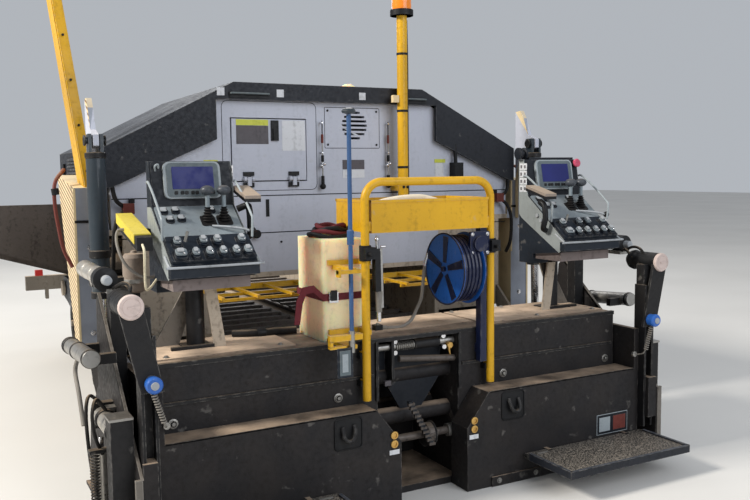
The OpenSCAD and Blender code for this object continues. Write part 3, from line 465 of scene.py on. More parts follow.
class Piece:
    """One mesh that rides on a body, drawn from boxes, rods, tubes and plates."""

    def __init__(self, name, body, slot, side=1):
        self.name, self.body, self.slot, self.side = name, body, slot, side
        self.mesh = bmesh.new()
        self.paints = []
        self.index = 0

    def use(self, paint):
        if paint not in self.paints:
            self.paints.append(paint)
        self.index = self.paints.index(paint)
        return self

    def faces(self, points, rings):
        made = [self.mesh.verts.new(point) for point in points]
        for ring in rings:
            face = self.mesh.faces.new([made[i] for i in ring])
            face.material_index = self.index
        return made

    def skin(self, near, far, bevel):
        """A closed solid between two matching outlines, with its sharp edges bevelled."""
        count = len(near)
        rings = [tuple(range(count)), tuple(range(2 * count - 1, count - 1, -1))]
        rings += [(i, count + i, count + (i + 1) % count, (i + 1) % count) for i in range(count)]
        verts = self.faces(near + far, rings)
        edges = {edge for vert in verts for edge in vert.link_edges}
        sharp = [edge for edge in edges if edge.is_manifold and edge.calc_face_angle(0) > 0.5]
        bmesh.ops.bevel(
            self.mesh, geom=sharp, offset=bevel, segments=2, affect="EDGES", clamp_overlap=True, material=-1
        )
        return self

    def loft(self, rings, closed=False):
        """Rings of points joined one after another, capped unless the last meets the first."""
        count, size = len(rings), len(rings[0])
        faces = []
        for i in range(count if closed else count - 1):
            a, b = i * size, (i + 1) % count * size
            faces += [(a + k, a + (k + 1) % size, b + (k + 1) % size, b + k) for k in range(size)]
        if not closed:
            faces.append(tuple(range(size - 1, -1, -1)))
            faces.append(tuple(range((count - 1) * size, count * size)))
        self.faces([point for ring in rings for point in ring], faces)
        return self

    def prism(self, axis, start, end, outline, bevel=0.002):
        """An outline drawn across an axis, given its thickness along that axis."""
        return self.skin(across_axis(axis, start, outline), across_axis(axis, end, outline), bevel)

    def box(self, low, high, bevel=0.003):
        smallest = min(abs(b - a) for a, b in zip(low, high))
        outline = [(low[0], low[2]), (high[0], low[2]), (high[0], high[2]), (low[0], high[2])]
        return self.prism("y", low[1], high[1], outline, min(bevel, smallest * 0.4))

    def panel(self, level, low, high, proud, bevel=0.0005, sunk=0.0):
        """A box on a face that looks rearward, between two corners given as (x, z)."""
        return self.box((low[0], level - proud, low[1]), (high[0], level + sunk, high[1]), bevel)

    def lathe(self, start, along, profile, segments=20):
        """A profile of (distance, radius) turned about a line."""
        across = along.orthogonal().normalized()
        other = along.cross(across)
        return self.loft([
            circle(Vector(start) + along * distance, across, other, max(radius, 1e-4), segments)
            for distance, radius in profile
        ])

    def rod(self, start, end, radius, end_radius=None, segments=16, edge=0.0015):
        line = Vector(end) - Vector(start)
        length = line.length
        end_radius = radius if end_radius is None else end_radius
        edge = min(edge, radius * 0.4, length * 0.3)
        near = [(0, radius - edge), (edge, radius)]
        far = [(length - edge, end_radius), (length, end_radius - edge)]
        return self.lathe(start, line.normalized(), near + far, segments)

    def ball(self, centre, radius, flat=1.0, segments=16, rows=8):
        profile = []
        for row in range(rows + 1):
            angle = math.pi * row / rows
            profile.append((radius * flat * (1 - math.cos(angle)), radius * math.sin(angle)))
        return self.lathe(Vector(centre) - UP * radius * flat, UP, profile, segments)

    def tube(self, points, radius, segments=8, steps=6, closed=False):
        path = smooth_path(points, steps) if steps else [Vector(point) for point in points]
        count = len(path)
        rings = []
        across = None
        for i, point in enumerate(path):
            if closed:
                ahead = path[(i + 1) % count] - path[i - 1]
            else:
                ahead = path[min(i + 1, count - 1)] - path[max(i - 1, 0)]
            ahead.normalize()
            if across is None:
                across = ahead.orthogonal().normalized()
            across = (across - ahead * across.dot(ahead)).normalized()
            rings.append(circle(point, across, ahead.cross(across), radius, segments))
        return self.loft(rings, closed)

    def seam(self, axis, level, outline, radius=0.0016):
        """A thin dark line round an outline on a flat face."""
        return self.tube(across_axis(axis, level, outline), radius, 6, 0, closed=True)

    def bolts(self, places, toward, radius=0.009, height=0.008):
        """Hexagon heads on washers, each standing out along a direction."""
        for place in places:
            place = Vector(place)
            self.rod(place, place + toward * 0.002, radius * 1.45, edge=0.0006)
            self.lathe(place, toward, [(0, radius), (height - 0.001, radius), (height, radius * 0.85)], 6)
        return self

    def done(self):
        if self.side < 0:
            bmesh.ops.scale(self.mesh, vec=(-1, 1, 1), verts=self.mesh.verts)
        bmesh.ops.translate(self.mesh, vec=(0, REAR, 0), verts=self.mesh.verts)
        bmesh.ops.recalc_face_normals(self.mesh, faces=self.mesh.faces)
        data = bpy.data.meshes.new(self.name)
        self.mesh.to_mesh(data)
        self.mesh.free()
        for paint in self.paints:
            data.materials.append(PAINT[paint])
        data.shade_smooth()
        data.set_sharp_from_angle(angle=math.radians(32))
        thing = bpy.data.objects.new(self.name, data)
        bpy.context.scene.collection.objects.link(thing)
        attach(thing, self.body)
        return thing


# Rear wall of the tractor


def wall_fittings():
    piece = Piece("wall_seams", "tractor", "black_paint").use("black_plastic")
    piece.seam("y", WALL_Y, rounded((-0.592, 1.345), (-0.084, 1.792), 0.03))
    piece.seam("y", WALL_Y, rounded((-0.035, 1.56), (0.29, 1.772), 0.006))
    for z in (1.128, 1.317):
        piece.panel(WALL_Y, (-1.135, z), (1.135, z + 0.005), 0.001, 0.0005, 0.002)
    for x, z in ((-0.018, 1.755), (-0.018, 1.578), (0.272, 1.755), (0.272, 1.578), (-0.292, 1.08)):
        piece.rod((x, WALL_Y, z), (x, WALL_Y - 0.004, z), 0.006)
    piece.panel(WALL_Y, (-0.372, 1.212), (-0.354, 1.3), 0.003, 0.003, 0.001)
    for x in LATCHES_X:
        piece.panel(WALL_Y, (x - 0.028, 1.362), (x + 0.028, 1.386), 0.012, 0.003)
    piece.rod((-0.432, WALL_Y, 1.127), (-0.432, WALL_Y - 0.03, 1.127), 0.022)
    piece.done()

    plates = Piece("wall_plates", "tractor", "body_white")
    for paint, low, high in (
        ("label_grey", (0.066, 1.448), (0.196, 1.498)),
        ("label_pale", (0.066, 1.402), (0.196, 1.446)),
        ("label_lime", (0.642, 1.48), (0.714, 1.5)),
        ("label_lime", (-0.69, 1.48), (-0.618, 1.5)),
        ("label_pale", (0.646, 1.398), (0.702, 1.478)),
        ("black_plastic", (0.646, 1.386), (0.702, 1.396)),
    ):
        plates.use(paint).panel(WALL_Y, low, high, 0.002)
    plates.done()

    y = WALL_Y - 0.026
    for name, x in (("left", -0.062), ("right", 0.33)):
        stay = Piece(f"wall_stay_{name}", "tractor", "bright_steel")
        for paint, low, high, radius in (
            ("black_plastic", 1.372, 1.415, 0.009),
            ("steel", 1.41, 1.6, 0.004),
            ("black_plastic", 1.488, 1.522, 0.008),
            ("dark_red", 1.585, 1.63, 0.007),
            ("black_plastic", 1.63, 1.7, 0.003),
        ):
            stay.use(paint).rod((x, y, low), (x, y, high), radius)
        stay.ball((x, y, 1.36), 0.016)
        stay.use("bright_steel")
        for z in (1.462, 1.48, 1.535, 1.69):
            stay.rod((x, WALL_Y, z), (x, y - 0.006, z), 0.005)
        stay.ball((x - 0.008, y - 0.004, 1.468), 0.01).ball((x + 0.008, y - 0.006, 1.476), 0.009)
        stay.done()

    strut = Piece("wall_strut", "tractor", "black_paint").use("black_plastic")
    strut.panel(WALL_Y, (0.744, 1.395), (0.802, 1.48), 0.055, 0.006)
    strut.rod((0.766, WALL_Y - 0.03, 1.478), (0.76, WALL_Y - 0.03, 1.585), 0.011)
    strut.done()

    for name, side in SIDES:
        clamp = Piece(f"wall_hose_clamp_{name}", "tractor", "black_paint", side)
        clamp.use("dark_red").panel(WALL_Y, (1.04, 1.25), (1.09, 1.3), 0.05, 0.006)
        clamp.use("black_plastic").panel(WALL_Y, (1.034, 1.3), (1.056, 1.322), 0.03, 0.003)
        clamp.use("rubber").tube(
            [(1.085, 0.98, 1.285), (1.12, 0.975, 1.315), (1.135, 0.98, 1.38), (1.14, 0.99, 1.45),
             (1.145, 1.015, 1.5)], 0.01,
        )
        clamp.tube(
            [(1.085, 0.98, 1.265), (1.12, 0.965, 1.225), (1.14, 0.955, 1.15), (1.145, 0.97, 1.02),
             (1.145, 1.012, 0.95)], 0.01,
        )
        clamp.done()


def door_fittings():
    piece = Piece("door_fittings", "service_door", "body_white")
    for paint, low, high in (
        ("label_lime", (-0.521, 1.672), (-0.351, 1.701)),
        ("label_grey", (-0.521, 1.579), (-0.351, 1.671)),
        ("label_pale", (-0.277, 1.546), (-0.15, 1.699)),
    ):
        piece.use(paint).panel(DOOR_Y, low, high, 0.0015, 0.0004)
    piece.use("black_plastic").panel(DOOR_Y, (-0.337, 1.596), (-0.298, 1.698), 0.01, 0.004)
    piece.box((-0.329, DOOR_Y - 0.016, 1.6), (-0.306, DOOR_Y - 0.009, 1.66), 0.003)
    for x in LATCHES_X:
        piece.panel(DOOR_Y, (x - 0.028, 1.42), (x + 0.028, 1.44), 0.01, 0.003)
    piece.done()


# Hood and masts


def hood_fittings():
    piece = Piece("hood_fittings", "hood", "charcoal")
    for low, high in ((-0.565, -0.352), (0.352, 0.565)):
        # Dark box behind each handle: painted shade of its recess
        piece.use("black_plastic").panel(HOOD_Y, (low, 1.803), (high, 1.832), 0.006, 0.004)
        handle = ((low + 0.01, 0.004), (low + 0.025, 0.02), (high - 0.025, 0.02), (high - 0.01, 0.004))
        piece.use("bezel").tube([(x, HOOD_Y - proud, 1.824) for x, proud in handle], 0.005, 8, 3)
    piece.use("label_pale")
    for x in (-0.625, -0.315, 0.15):
        piece.panel(HOOD_Y, (x, 1.812), (x + 0.038, 1.85), 0.001, 0.0004)
    piece.use("tank_plastic").lathe(
        (0.29, 1.38, 1.878), UP, [(0, 0.055), (0.02, 0.055), (0.045, 0.045), (0.06, 0.02), (0.062, 0)]
    )
    piece.use("black_plastic").lathe(
        (0.62, 2.12, 1.845), UP, [(0, 0.055), (0.12, 0.055), (0.122, 0.047), (0.03, 0.046)], 24
    )
    piece.done()

    for name, side in SIDES:
        grille = Piece(f"hood_grille_{name}", "hood", "charcoal", side)
        for y in (1.12, 1.62):
            frame_outline = rounded((y, 1.4), (y + 0.42, 1.535), 0.012)
            grille.use("black_plastic").prism("x", HOOD_X - 0.002, HOOD_X + 0.003, frame_outline)
            grille.use("charcoal")
            for row in range(7):
                z = 1.41 + row * 0.018
                slat = [(HOOD_X + 0.002, z), (HOOD_X + 0.01, z - 0.004), (HOOD_X + 0.01, z + 0.002),
                        (HOOD_X + 0.002, z + 0.01)]
                grille.prism("y", y + 0.012, y + 0.408, slat, 0.0008)
        grille.use("black_plastic").box((HOOD_X, 2.14, 1.43), (HOOD_X + 0.012, 2.2, 1.5), 0.004)
        grille.done()


def mast_fittings():
    x, y, top = MAST_X, MAST_Y, MAST_TOP
    piece = Piece("beacon", "tractor", "safety_yellow")
    piece.use("black_plastic").lathe((x, y, top), UP, [(0, 0.062), (0.03, 0.062), (0.032, 0.052)], 28)
    lens = [(0, 0.051), (0.02, 0.0525), (0.04, 0.051), (0.06, 0.0525), (0.08, 0.051), (0.095, 0.046),
            (0.105, 0.03), (0.109, 0)]
    piece.use("lens_amber").lathe((x, y, top + 0.032), UP, lens, 28)
    piece.use("panel_cream").box((x - 0.062, y - 0.012, 1.8), (x - 0.027, y + 0.012, 1.838), 0.004)
    piece.use("black_plastic").tube(
        [(x + 0.03, y, top - 0.02), (x + 0.034, y, 2.0), (x + 0.033, y, 1.7), (x + 0.034, y, 1.3)], 0.004
    )
    for z in (1.45, 1.75, 2.05):
        piece.rod((x, y, z), (x, y, z + 0.012), 0.03, edge=0.0005, segments=24)
    piece.bolts([(x + dx, y - 0.028, z) for dx in (-0.012, 0.012) for z in (1.26, 1.35)], -AHEAD, 0.006)
    piece.done()

    # Holes of the leaning mast, drawn as dark discs of painted shade, and its stiffening strip
    lean = Piece("lean_mast_fittings", "tractor", "safety_yellow").use("black_plastic")
    foot = Vector((-1.225, 1.03, 1.375))
    along = Vector((-0.0872 * 0.996, 0.2454, 0.996)).normalized()
    for reach in (0.08, 0.3, 0.52, 0.74):
        middle = foot + along * reach
        lean.rod(middle + AHEAD * 0.002, middle - AHEAD * 0.005, 0.006, edge=0.0004)
    strip = foot + Vector((-0.02, -0.002, 0.0))
    lean.use("yellow").tube([strip, strip + along * 1.05], 0.003, 6, 0)
    lean.done()


# Corner boxes and lift cylinders


def corner_fittings():
    top = Vector((LIFT_X, 0.86, 1.585))
    down = (Vector((LIFT_X, 0.83, 0.41)) - top).normalized()
    for name, side in SIDES:
        piece = Piece(f"corner_fittings_{name}", "tractor", "panel_cream", side)
        piece.use("black_plastic").panel(WALL_Y, (1.178, 1.214), (1.302, 1.226), 0.006, 0.003, 0.004)
        piece.use("panel_cream").panel(WALL_Y, (1.176, 0.95), (1.186, 1.372), 0.004, 0.003, 0.004)
        piece.panel(WALL_Y, (1.294, 0.62), (1.304, 1.372), 0.004, 0.003, 0.004)
        piece.use("dark_red").tube(
            [(1.318, 1.16, 1.46), (1.372, 1.06, 1.4), (1.378, 1.05, 1.3), (1.366, 1.05, 1.19),
             (1.348, 1.05, 1.09), (1.314, 1.04, 1.01)], 0.009,
        )
        piece.use("black_plastic").rod((1.372, 1.05, 1.345), (1.376, 1.05, 1.375), 0.017)
        piece.use("bright_steel").bolts([(1.24, WALL_Y - 0.001, z) for z in (0.7, 1.1)], -AHEAD)
        piece.done()

        barrel = Piece(f"lift_barrel_fittings_{name}", f"lift_barrel_{name}", "cylinder_grey", side)
        barrel.use("black_paint")
        for reach, collar in (
            (0.052, [(0, 0.038), (0.004, 0.046), (0.024, 0.046), (0.028, 0.0425)]),
            (0.485, [(0, 0.0425), (0.003, 0.047), (0.032, 0.047), (0.036, 0.0425)]),
            (0.67, [(0, 0.0425), (0.003, 0.046), (0.031, 0.046), (0.033, 0.035), (0.033, 0.0235)]),
        ):
            barrel.lathe(top + down * reach, down, collar, 28)
        for near, far in ((-0.046, -0.04), (0.04, 0.048)):
            barrel.rod(top + RIGHT * near, top + RIGHT * far, 0.024, segments=20)
        hose = ((0.13, 0.045), (0.11, 0.085), (0.2, 0.1), (0.36, 0.066), (0.55, 0.052), (0.64, 0.044))
        barrel.use("rubber").tube([top + down * reach + AHEAD * out for reach, out in hose], 0.008)
        barrel.use("steel")
        for reach in (0.13, 0.64):
            place = top + down * reach
            barrel.rod(place + AHEAD * 0.03, place + AHEAD * 0.056, 0.012, segments=6)
        barrel.done()


# Consoles

SLOPE_TOP = Vector((0, 0.37, 1.3))
SLOPE_LOW = Vector((0, 0.09, 1.09))
HEAD_TOP = Vector((0, 0.405, 1.485))
CONSOLE_FRONT = ((0.44, 1.485), (0.405, 1.485), (0.37, 1.3), (0.09, 1.09), (0.1, 1.05), (0.13, 1.03))
CONSOLE_PROFILE = CONSOLE_FRONT + ((0.33, 1.01), (0.33, 0.96), (0.44, 0.96))
FLANK = CONSOLE_FRONT + ((0.42, 1.19), (0.44, 1.21))
LOWER_FLANK = ((0.432, 1.3),) + CONSOLE_FRONT[2:] + ((0.432, 1.196),)


class Face:
    """A flat sloping face across a console: u is metres from its middle, v metres down from its top."""

    def __init__(self, middle, top, low):
        self.middle, self.top = middle, top
        self.down = (low - top).normalized()
        self.out = Vector((0, self.down.z, -self.down.y)).normalized()
        if self.out.y > 0:
            self.out = -self.out

    def at(self, u, v, out=0.0):
        return Vector((self.middle + u, self.top.y, self.top.z)) + self.down * v + self.out * out

    def slab(self, piece, paint, low, high, thick, radius, base=0.0, bevel=0.002):
        outline = rounded(low, high, radius)
        near = [self.at(u, v, base) for u, v in outline]
        far = [self.at(u, v, base + thick) for u, v in outline]
        piece.use(paint).skin(near, far, bevel)


def console_display(piece, head):
    head.slab(piece, "head_black", (-0.165, 0.004), (0.165, 0.186), 0.006, 0.012)
    head.slab(piece, "bezel_rim", (-0.118, 0.006), (0.118, 0.158), 0.018, 0.024, 0.004, 0.006)
    head.slab(piece, "bezel", (-0.108, 0.012), (0.108, 0.152), 0.006, 0.018, 0.019, 0.003)
    head.slab(piece, "display", (-0.086, 0.028), (0.086, 0.12), 0.003, 0.004, 0.0245, 0.0008)
    for column in range(8):
        u = -0.08 + column * 0.0215 + (0.004 if column % 2 else 0.0)
        head.slab(piece, "black_plastic", (u, 0.128), (u + 0.014, 0.142), 0.004, 0.003, 0.0245, 0.001)


def console_toggle(piece, face, u, v):
    """A small switch: a dark plate, a rubber boot with a pale painted highlight on top, and a bright tip that
    is a painted glint.
    """
    face.slab(piece, "black_plastic", (u - 0.022, v - 0.022), (u + 0.022, v + 0.024), 0.004, 0.006)
    face.slab(piece, "head_black", (u - 0.017, v - 0.018), (u + 0.017, v + 0.018), 0.005, 0.012, 0.006, 0.004)
    # Pale slab on top of the boot: painted highlight
    face.slab(piece, "knob_pale", (u - 0.014, v - 0.017), (u + 0.011, v + 0.006), 0.004, 0.007, 0.016, 0.003)
    # Bright steel stub: painted glint
    piece.use("bright_steel").rod(face.at(u + 0.008, v, 0.014), face.at(u + 0.008, v - 0.004, 0.028), 0.003)


def console_boot(piece, face, u, v, half=0.016):
    """A large boot with a worn cap that leans over its dark foot; a pale patch on the cap's upper left is
    painted highlight, and a small bright steel ball a painted glint.
    """
    for paint, wide, narrow, above, below, thick, radius, base, bevel in (
        ("head_black", half + 0.005, half + 0.005, 0.028, 0.03, 0.008, 0.008, 0.0, 0.003),
        ("console_dark", half, half, 0.022, 0.024, 0.008, 0.014, 0.008, 0.005),
        ("console_pale", half * 0.9, half * 0.9, 0.02, 0.014, 0.007, 0.01, 0.02, 0.005),
        # Pale patch on the cap's upper left: painted highlight
        ("knob_pale", half * 0.6, half * 0.4, 0.016, 0.004, 0.005, 0.003, 0.029, 0.001),
    ):
        face.slab(piece, paint, (u - wide, v - above), (u + narrow, v + below), thick, radius, base, bevel)
    # Small bright steel ball on the cap: painted glint
    piece.use("bright_steel").ball(face.at(u + half * 0.4, v + 0.01, 0.028), 0.004)


def console_joystick(piece, face, u, v):
    base = face.at(u, v)
    face.slab(piece, "black_plastic", (u - 0.03, v - 0.03), (u + 0.03, v + 0.03), 0.01, 0.008)
    bellows = []
    for fold in range(6):
        height, reach = fold * 0.011, 0.026 - fold * 0.0024
        bellows += [(height, reach - 0.005), (height + 0.006, reach)]
    piece.lathe(base, UP, bellows, 16)
    piece.use("console_pale").rod(base + UP * 0.055, base + UP * 0.12, 0.009)
    piece.use("ball_grey").ball(base + UP * 0.128, 0.029, 0.72)


def console_control_face(piece, slope):
    slope.slab(piece, "console_pale", (-0.164, 0.004), (0.164, 0.205), 0.006, 0.006)
    slope.slab(piece, "console_dark", (-0.168, 0.2), (0.168, 0.345), 0.016, 0.01, 0.0, 0.006)
    for u, v in ((-0.132, 0.04), (-0.084, 0.038), (-0.118, 0.094), (-0.072, 0.09), (0.062, 0.04)):
        console_toggle(piece, slope, u, v)
    raised = Face(slope.middle, slope.at(0, 0, 0.01), slope.at(0, 1, 0.01))
    for u in (-0.129, -0.026, 0.03, 0.129):
        console_boot(piece, raised, u, 0.246)
    for u, half in ((-0.13, 0.024), (-0.072, 0.015), (-0.018, 0.015), (0.036, 0.015), (0.088, 0.015),
                    (0.136, 0.017)):
        console_boot(piece, raised, u, 0.314, half)
    for column in range(7):
        piece.use("bright_steel").ball(raised.at(-0.15 + column * 0.05, 0.342), 0.003)
    piece.use("steel").rod(raised.at(-0.093, 0.232), raised.at(-0.084, 0.212, 0.04), 0.006)
    for u in (0.034, 0.102):
        console_joystick(piece, slope, u, 0.104)
    # Bent rod that runs from between the levers to a knob at the edge
    bend = ((0.04, 0.14, 0.01), (0.09, 0.16, 0.02), (0.15, 0.185, 0.028), (0.178, 0.2, 0.028))
    piece.use("knob_pale").tube([slope.at(*place) for place in bend], 0.005, 8, 4)
    piece.use("black_plastic").ball(slope.at(0.188, 0.2, 0.028), 0.015)


def console_rails(name, side, head):
    """Side rails, arm pad, cards and the fittings that only one of the consoles has."""
    middle = CONSOLE_X[name]
    inner = middle - side * CONSOLE_HALF
    piece = Piece(f"console_rails_{name}", f"console_{name}", "console_grey")
    rail = ((0.395, 1.4), (0.37, 1.4), (0.29, 1.352), (0.19, 1.275), (0.172, 1.25), (0.18, 1.18))
    for edge in (middle - CONSOLE_HALF - 0.006, middle + CONSOLE_HALF + 0.006):
        piece.use("bezel_rim").tube([(edge, y, z) for y, z in rail], 0.005, 10, 4)
    pad = inner - side * 0.034
    near, foot = (0.15, 1.29) if name == "right" else (0.235, 1.315)
    arm = ((inner, 0.1, -0.03), (pad, 0.08, -0.016), (pad, 0.05, -0.03), (pad, 0.04, -0.09),
           (pad, 0.055, -0.14), (inner, 0.08, -0.155))
    piece.use("black_plastic").tube([(x, near + y, foot + z) for x, y, z in arm], 0.014, 12, 4)
    for paint, lift in (("black_plastic", 0.0), ("brown_pad", 0.013)):
        outline = ((0, 0), (0.15, 0.04), (0.15, 0.054), (0, 0.014))
        piece.use(paint).prism(
            "x", pad - 0.034, pad + 0.034, [(near + y, foot + lift + z) for y, z in outline], 0.003
        )
    for y, z in ((0.29, 1.205), (0.262, 1.182)):
        piece.use("knob_pale").rod((inner, y, z), (inner - side * 0.008, y, z), 0.01)
    for z in (1.322, 1.359, 1.396, 1.433):
        for y in (0.378, 0.408):
            piece.use("label_pale").box((inner - 0.001, y, z), (inner + 0.001, y + 0.027, z + 0.033), 0.0003)
            piece.use("label_grey").box(
                (inner - 0.0015, y + 0.008, z + 0.008), (inner + 0.0015, y + 0.02, z + 0.024), 0.0003
            )
    if name == "right":
        # Stop button and the spool on top
        piece.use("black_plastic").rod(head.at(0.15, 0.024, 0.004), head.at(0.15, 0.024, 0.022), 0.013)
        piece.use("stop_red").lathe(
            head.at(0.15, 0.024, 0.02), head.out,
            [(0, 0.016), (0.004, 0.022), (0.012, 0.022), (0.017, 0.016), (0.018, 0.0)], 24,
        )
        spool = [(0, 0.012), (0.002, 0.03), (0.012, 0.03), (0.016, 0.018), (0.03, 0.018), (0.034, 0.03),
                 (0.046, 0.03), (0.05, 0.01)]
        piece.use("head_black").lathe((middle - 0.15, 0.425, 1.516), -RIGHT, spool, 24)
        piece.box((middle - 0.14, 0.405, 1.484), (middle + 0.15, 0.442, 1.496), 0.003)
    else:
        hook = ((-0.146, 0.04, 0.004), (-0.15, 0.024, 0.02), (-0.138, 0.018, 0.024), (-0.134, 0.03, 0.01))
        piece.use("bezel_rim").tube([head.at(*place) for place in hook], 0.004, 8, 4)
    piece.done()


def console(name, side):
    middle = CONSOLE_X[name]
    low, high = middle - CONSOLE_HALF, middle + CONSOLE_HALF
    inner, outer = middle - side * CONSOLE_HALF, middle + side * CONSOLE_HALF
    piece = Piece(f"console_body_{name}", f"console_{name}", "console_grey")
    # Where the pale flank plates leave this body bare, its dark paint is painted shade
    piece.use("console_dark").prism("x", low + 0.003, high - 0.003, CONSOLE_PROFILE, 0.006)
    piece.use("console_side")
    for skin_x, outline in ((inner + side * 0.003, FLANK), (outer - side * 0.003, LOWER_FLANK)):
        piece.prism("x", skin_x - 0.003, skin_x + 0.003, outline, 0.002)
    piece.use("console_dark").box((low - 0.002, 0.086, 1.04), (high + 0.002, 0.12, 1.084), 0.008)
    lip = ((low - 0.005, 0.15, 1.12), (low - 0.005, 0.09, 1.086), (low + 0.01, 0.08, 1.082),
           (high - 0.01, 0.08, 1.082), (high + 0.005, 0.09, 1.086), (high + 0.005, 0.15, 1.12))
    piece.use("knob_pale").tube(lip, 0.005, 8, 3)
    piece.use("under_brown").box((low + 0.02, 0.14, 0.985), (high - 0.02, 0.33, 1.03), 0.008)
    piece.use("black_plastic").box((low + 0.01, 0.436, 1.02), (high - 0.01, 0.452, 1.47), 0.006)
    body = piece.done()

    head = Face(middle, HEAD_TOP, SLOPE_TOP)
    controls = Piece(f"console_controls_{name}", f"console_{name}", "console_grey")
    console_display(controls, head)
    console_control_face(controls, Face(middle, SLOPE_TOP, SLOPE_LOW))
    controls.done()
    console_rails(name, side, head)
    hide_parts(f"console_{name}")


def console_legs():
    """Slanted flat leg and gusset that brace each console's post on the deck."""
    for name, side in SIDES:
        middle = abs(CONSOLE_X[name])
        legs = Piece(f"console_leg_{name}", "screed", "black_paint", side)
        for paint, near, far, top, high_x, low_x in (
            ("frame_dirt", 0.33, 0.342, 0.985, (-0.07, -0.02), (-0.06, -0.11)),
            ("frame_grey", 0.452, 0.462, 0.95, (-0.03, 0.03), (0.17, 0.06)),
        ):
            outline = [(middle + x, top) for x in high_x] + [(middle + x, DECK_Z) for x in low_x]
            legs.use(paint).prism("y", near, far, outline, 0.002)
        legs.use("black_paint")
        legs.box((middle - 0.06, 0.33, DECK_Z), (middle + 0.12, 0.35, DECK_Z + 0.02), 0.004)
        legs.done()


# Yellow hoop, its tray, gun, tank and reel


def hoop_fittings():
    clamps = Piece("hoop_clamps", "screed", "black_paint").use("black_plastic")
    for x in (HOOP_X - HOOP_HALF, HOOP_X + HOOP_HALF):
        clamps.rod((x, 0.095, 1.06), (x, 0.095, 1.125), 0.026, segments=24)
        clamps.box((x - 0.018, 0.056, 1.068), (x + 0.03, 0.095, 1.118), 0.005)
        clamps.rod((x, 0.06, 1.09), (x, 0.03, 1.09), 0.009)
        for z in (0.52, 0.64):
            clamps.box((x - 0.026, 0.1, z), (x + 0.026, 0.138, z + 0.026), 0.004)
    clamps.done()

    gun = Piece("spray_gun", "screed", "black_paint")
    x, y = -0.24, 0.075
    gun.use("black_plastic").box((x - 0.028, 0.06, 1.085), (x + 0.01, 0.095, 1.11), 0.004)
    gun.use("bright_steel").rod((x + 0.004, y, 1.1), (x + 0.004, y, 1.165), 0.006)
    gun.ball((x + 0.004, y, 1.15), 0.01).rod((x + 0.02, y, 1.118), (x + 0.045, y, 1.118), 0.004)
    for paint, low_x, high_x, outline, bevel in (
        ("black_plastic", -0.012, 0.014, ((-0.016, 0.93), (0.02, 0.93), (0.016, 1.1), (-0.012, 1.1)), 0.006),
        ("steel", 0.014, 0.026, ((-0.014, 0.86), (0.018, 0.86), (0.012, 1.11), (-0.006, 1.11)), 0.004),
    ):
        gun.use(paint).prism("x", x + low_x, x + high_x, [(y + a, z) for a, z in outline], bevel)
    gun.use("hose_grey").rod((x + 0.01, y, 0.93), (x + 0.01, y, 0.84), 0.017, 0.013)
    gun.use("bright_steel").rod((x + 0.01, y, 0.845), (x + 0.01, y, 0.8), 0.01)
    gun.done()

    tray = Piece("tray_load", "screed", "safety_yellow").use("yellow")
    low, high = HOOP_X - 0.3, HOOP_X + 0.3
    for low_x, low_y, high_x, high_y in (
        (low, 0.076, high, 0.09), (low, 0.412, high, 0.424),
        (low, 0.08, low + 0.012, 0.42), (high - 0.012, 0.08, high, 0.42),
    ):
        tray.box((low_x, low_y, 1.302), (high_x, high_y, 1.314), 0.004)
    tray.use("paper").tube(
        [(-0.2, 0.16, 1.275), (-0.12, 0.2, 1.29), (-0.03, 0.22, 1.3), (0.07, 0.23, 1.302),
         (0.14, 0.22, 1.286), (0.2, 0.2, 1.262)], 0.028, 12, 5,
    )
    tray.use("black_plastic").box((0.16, 0.3, 1.18), (0.26, 0.39, 1.262), 0.008)
    tray.done()

    # Tall rod on its two-armed bracket, with a small blank plate below
    rod = Piece("blue_rod", "screed", "frame_blue")
    x, y = -0.4, -0.004
    rod.use("rod_blue").rod((x, y, 0.775), (x, y, 1.672), 0.009)
    rod.use("cylinder_grey").lathe(
        (x, y, 1.662), UP, [(0, 0.009), (0.004, 0.026), (0.012, 0.029), (0.02, 0.024), (0.024, 0.008)], 20
    )
    rod.use("rod_blue").rod((x, y, 1.14), (x, y, 1.2), 0.014)
    for paint, low, high, bevel in (
        ("yellow", (-0.06, -0.01, 1.024), (0.042, 0.012, 1.04), 0.003),
        ("yellow", (-0.06, -0.014, 1.012), (-0.05, 0.014, 1.052), 0.003),
        ("yellow", (0.006, 0.01, 1.022), (0.03, 0.196, 1.044), 0.003),
        ("yellow", (-0.1, -0.01, 0.752), (0.046, 0.016, 0.776), 0.004),
        ("yellow", (-0.1, -0.01, 0.722), (-0.03, 0.016, 0.732), 0.003),
        ("yellow", (-0.1, -0.01, 0.73), (-0.088, 0.016, 0.754), 0.003),
        ("yellow", (-0.02, 0.01, 0.712), (0.03, 0.204, 0.728), 0.003),
        ("console_dark", (-0.072, -0.012, 0.602), (-0.002, -0.008, 0.724), 0.002),
        ("bezel", (-0.062, -0.015, 0.612), (-0.014, -0.011, 0.714), 0.001),
        ("bezel_rim", (-0.052, -0.017, 0.626), (-0.026, -0.014, 0.7), 0.001),
    ):
        rod.use(paint).box(Vector(low) + Vector((x, y, 0)), Vector(high) + Vector((x, y, 0)), bevel)
    rod.use("steel").rod((x, y, 0.7), (x, y, 0.79), 0.013)
    rod.done()


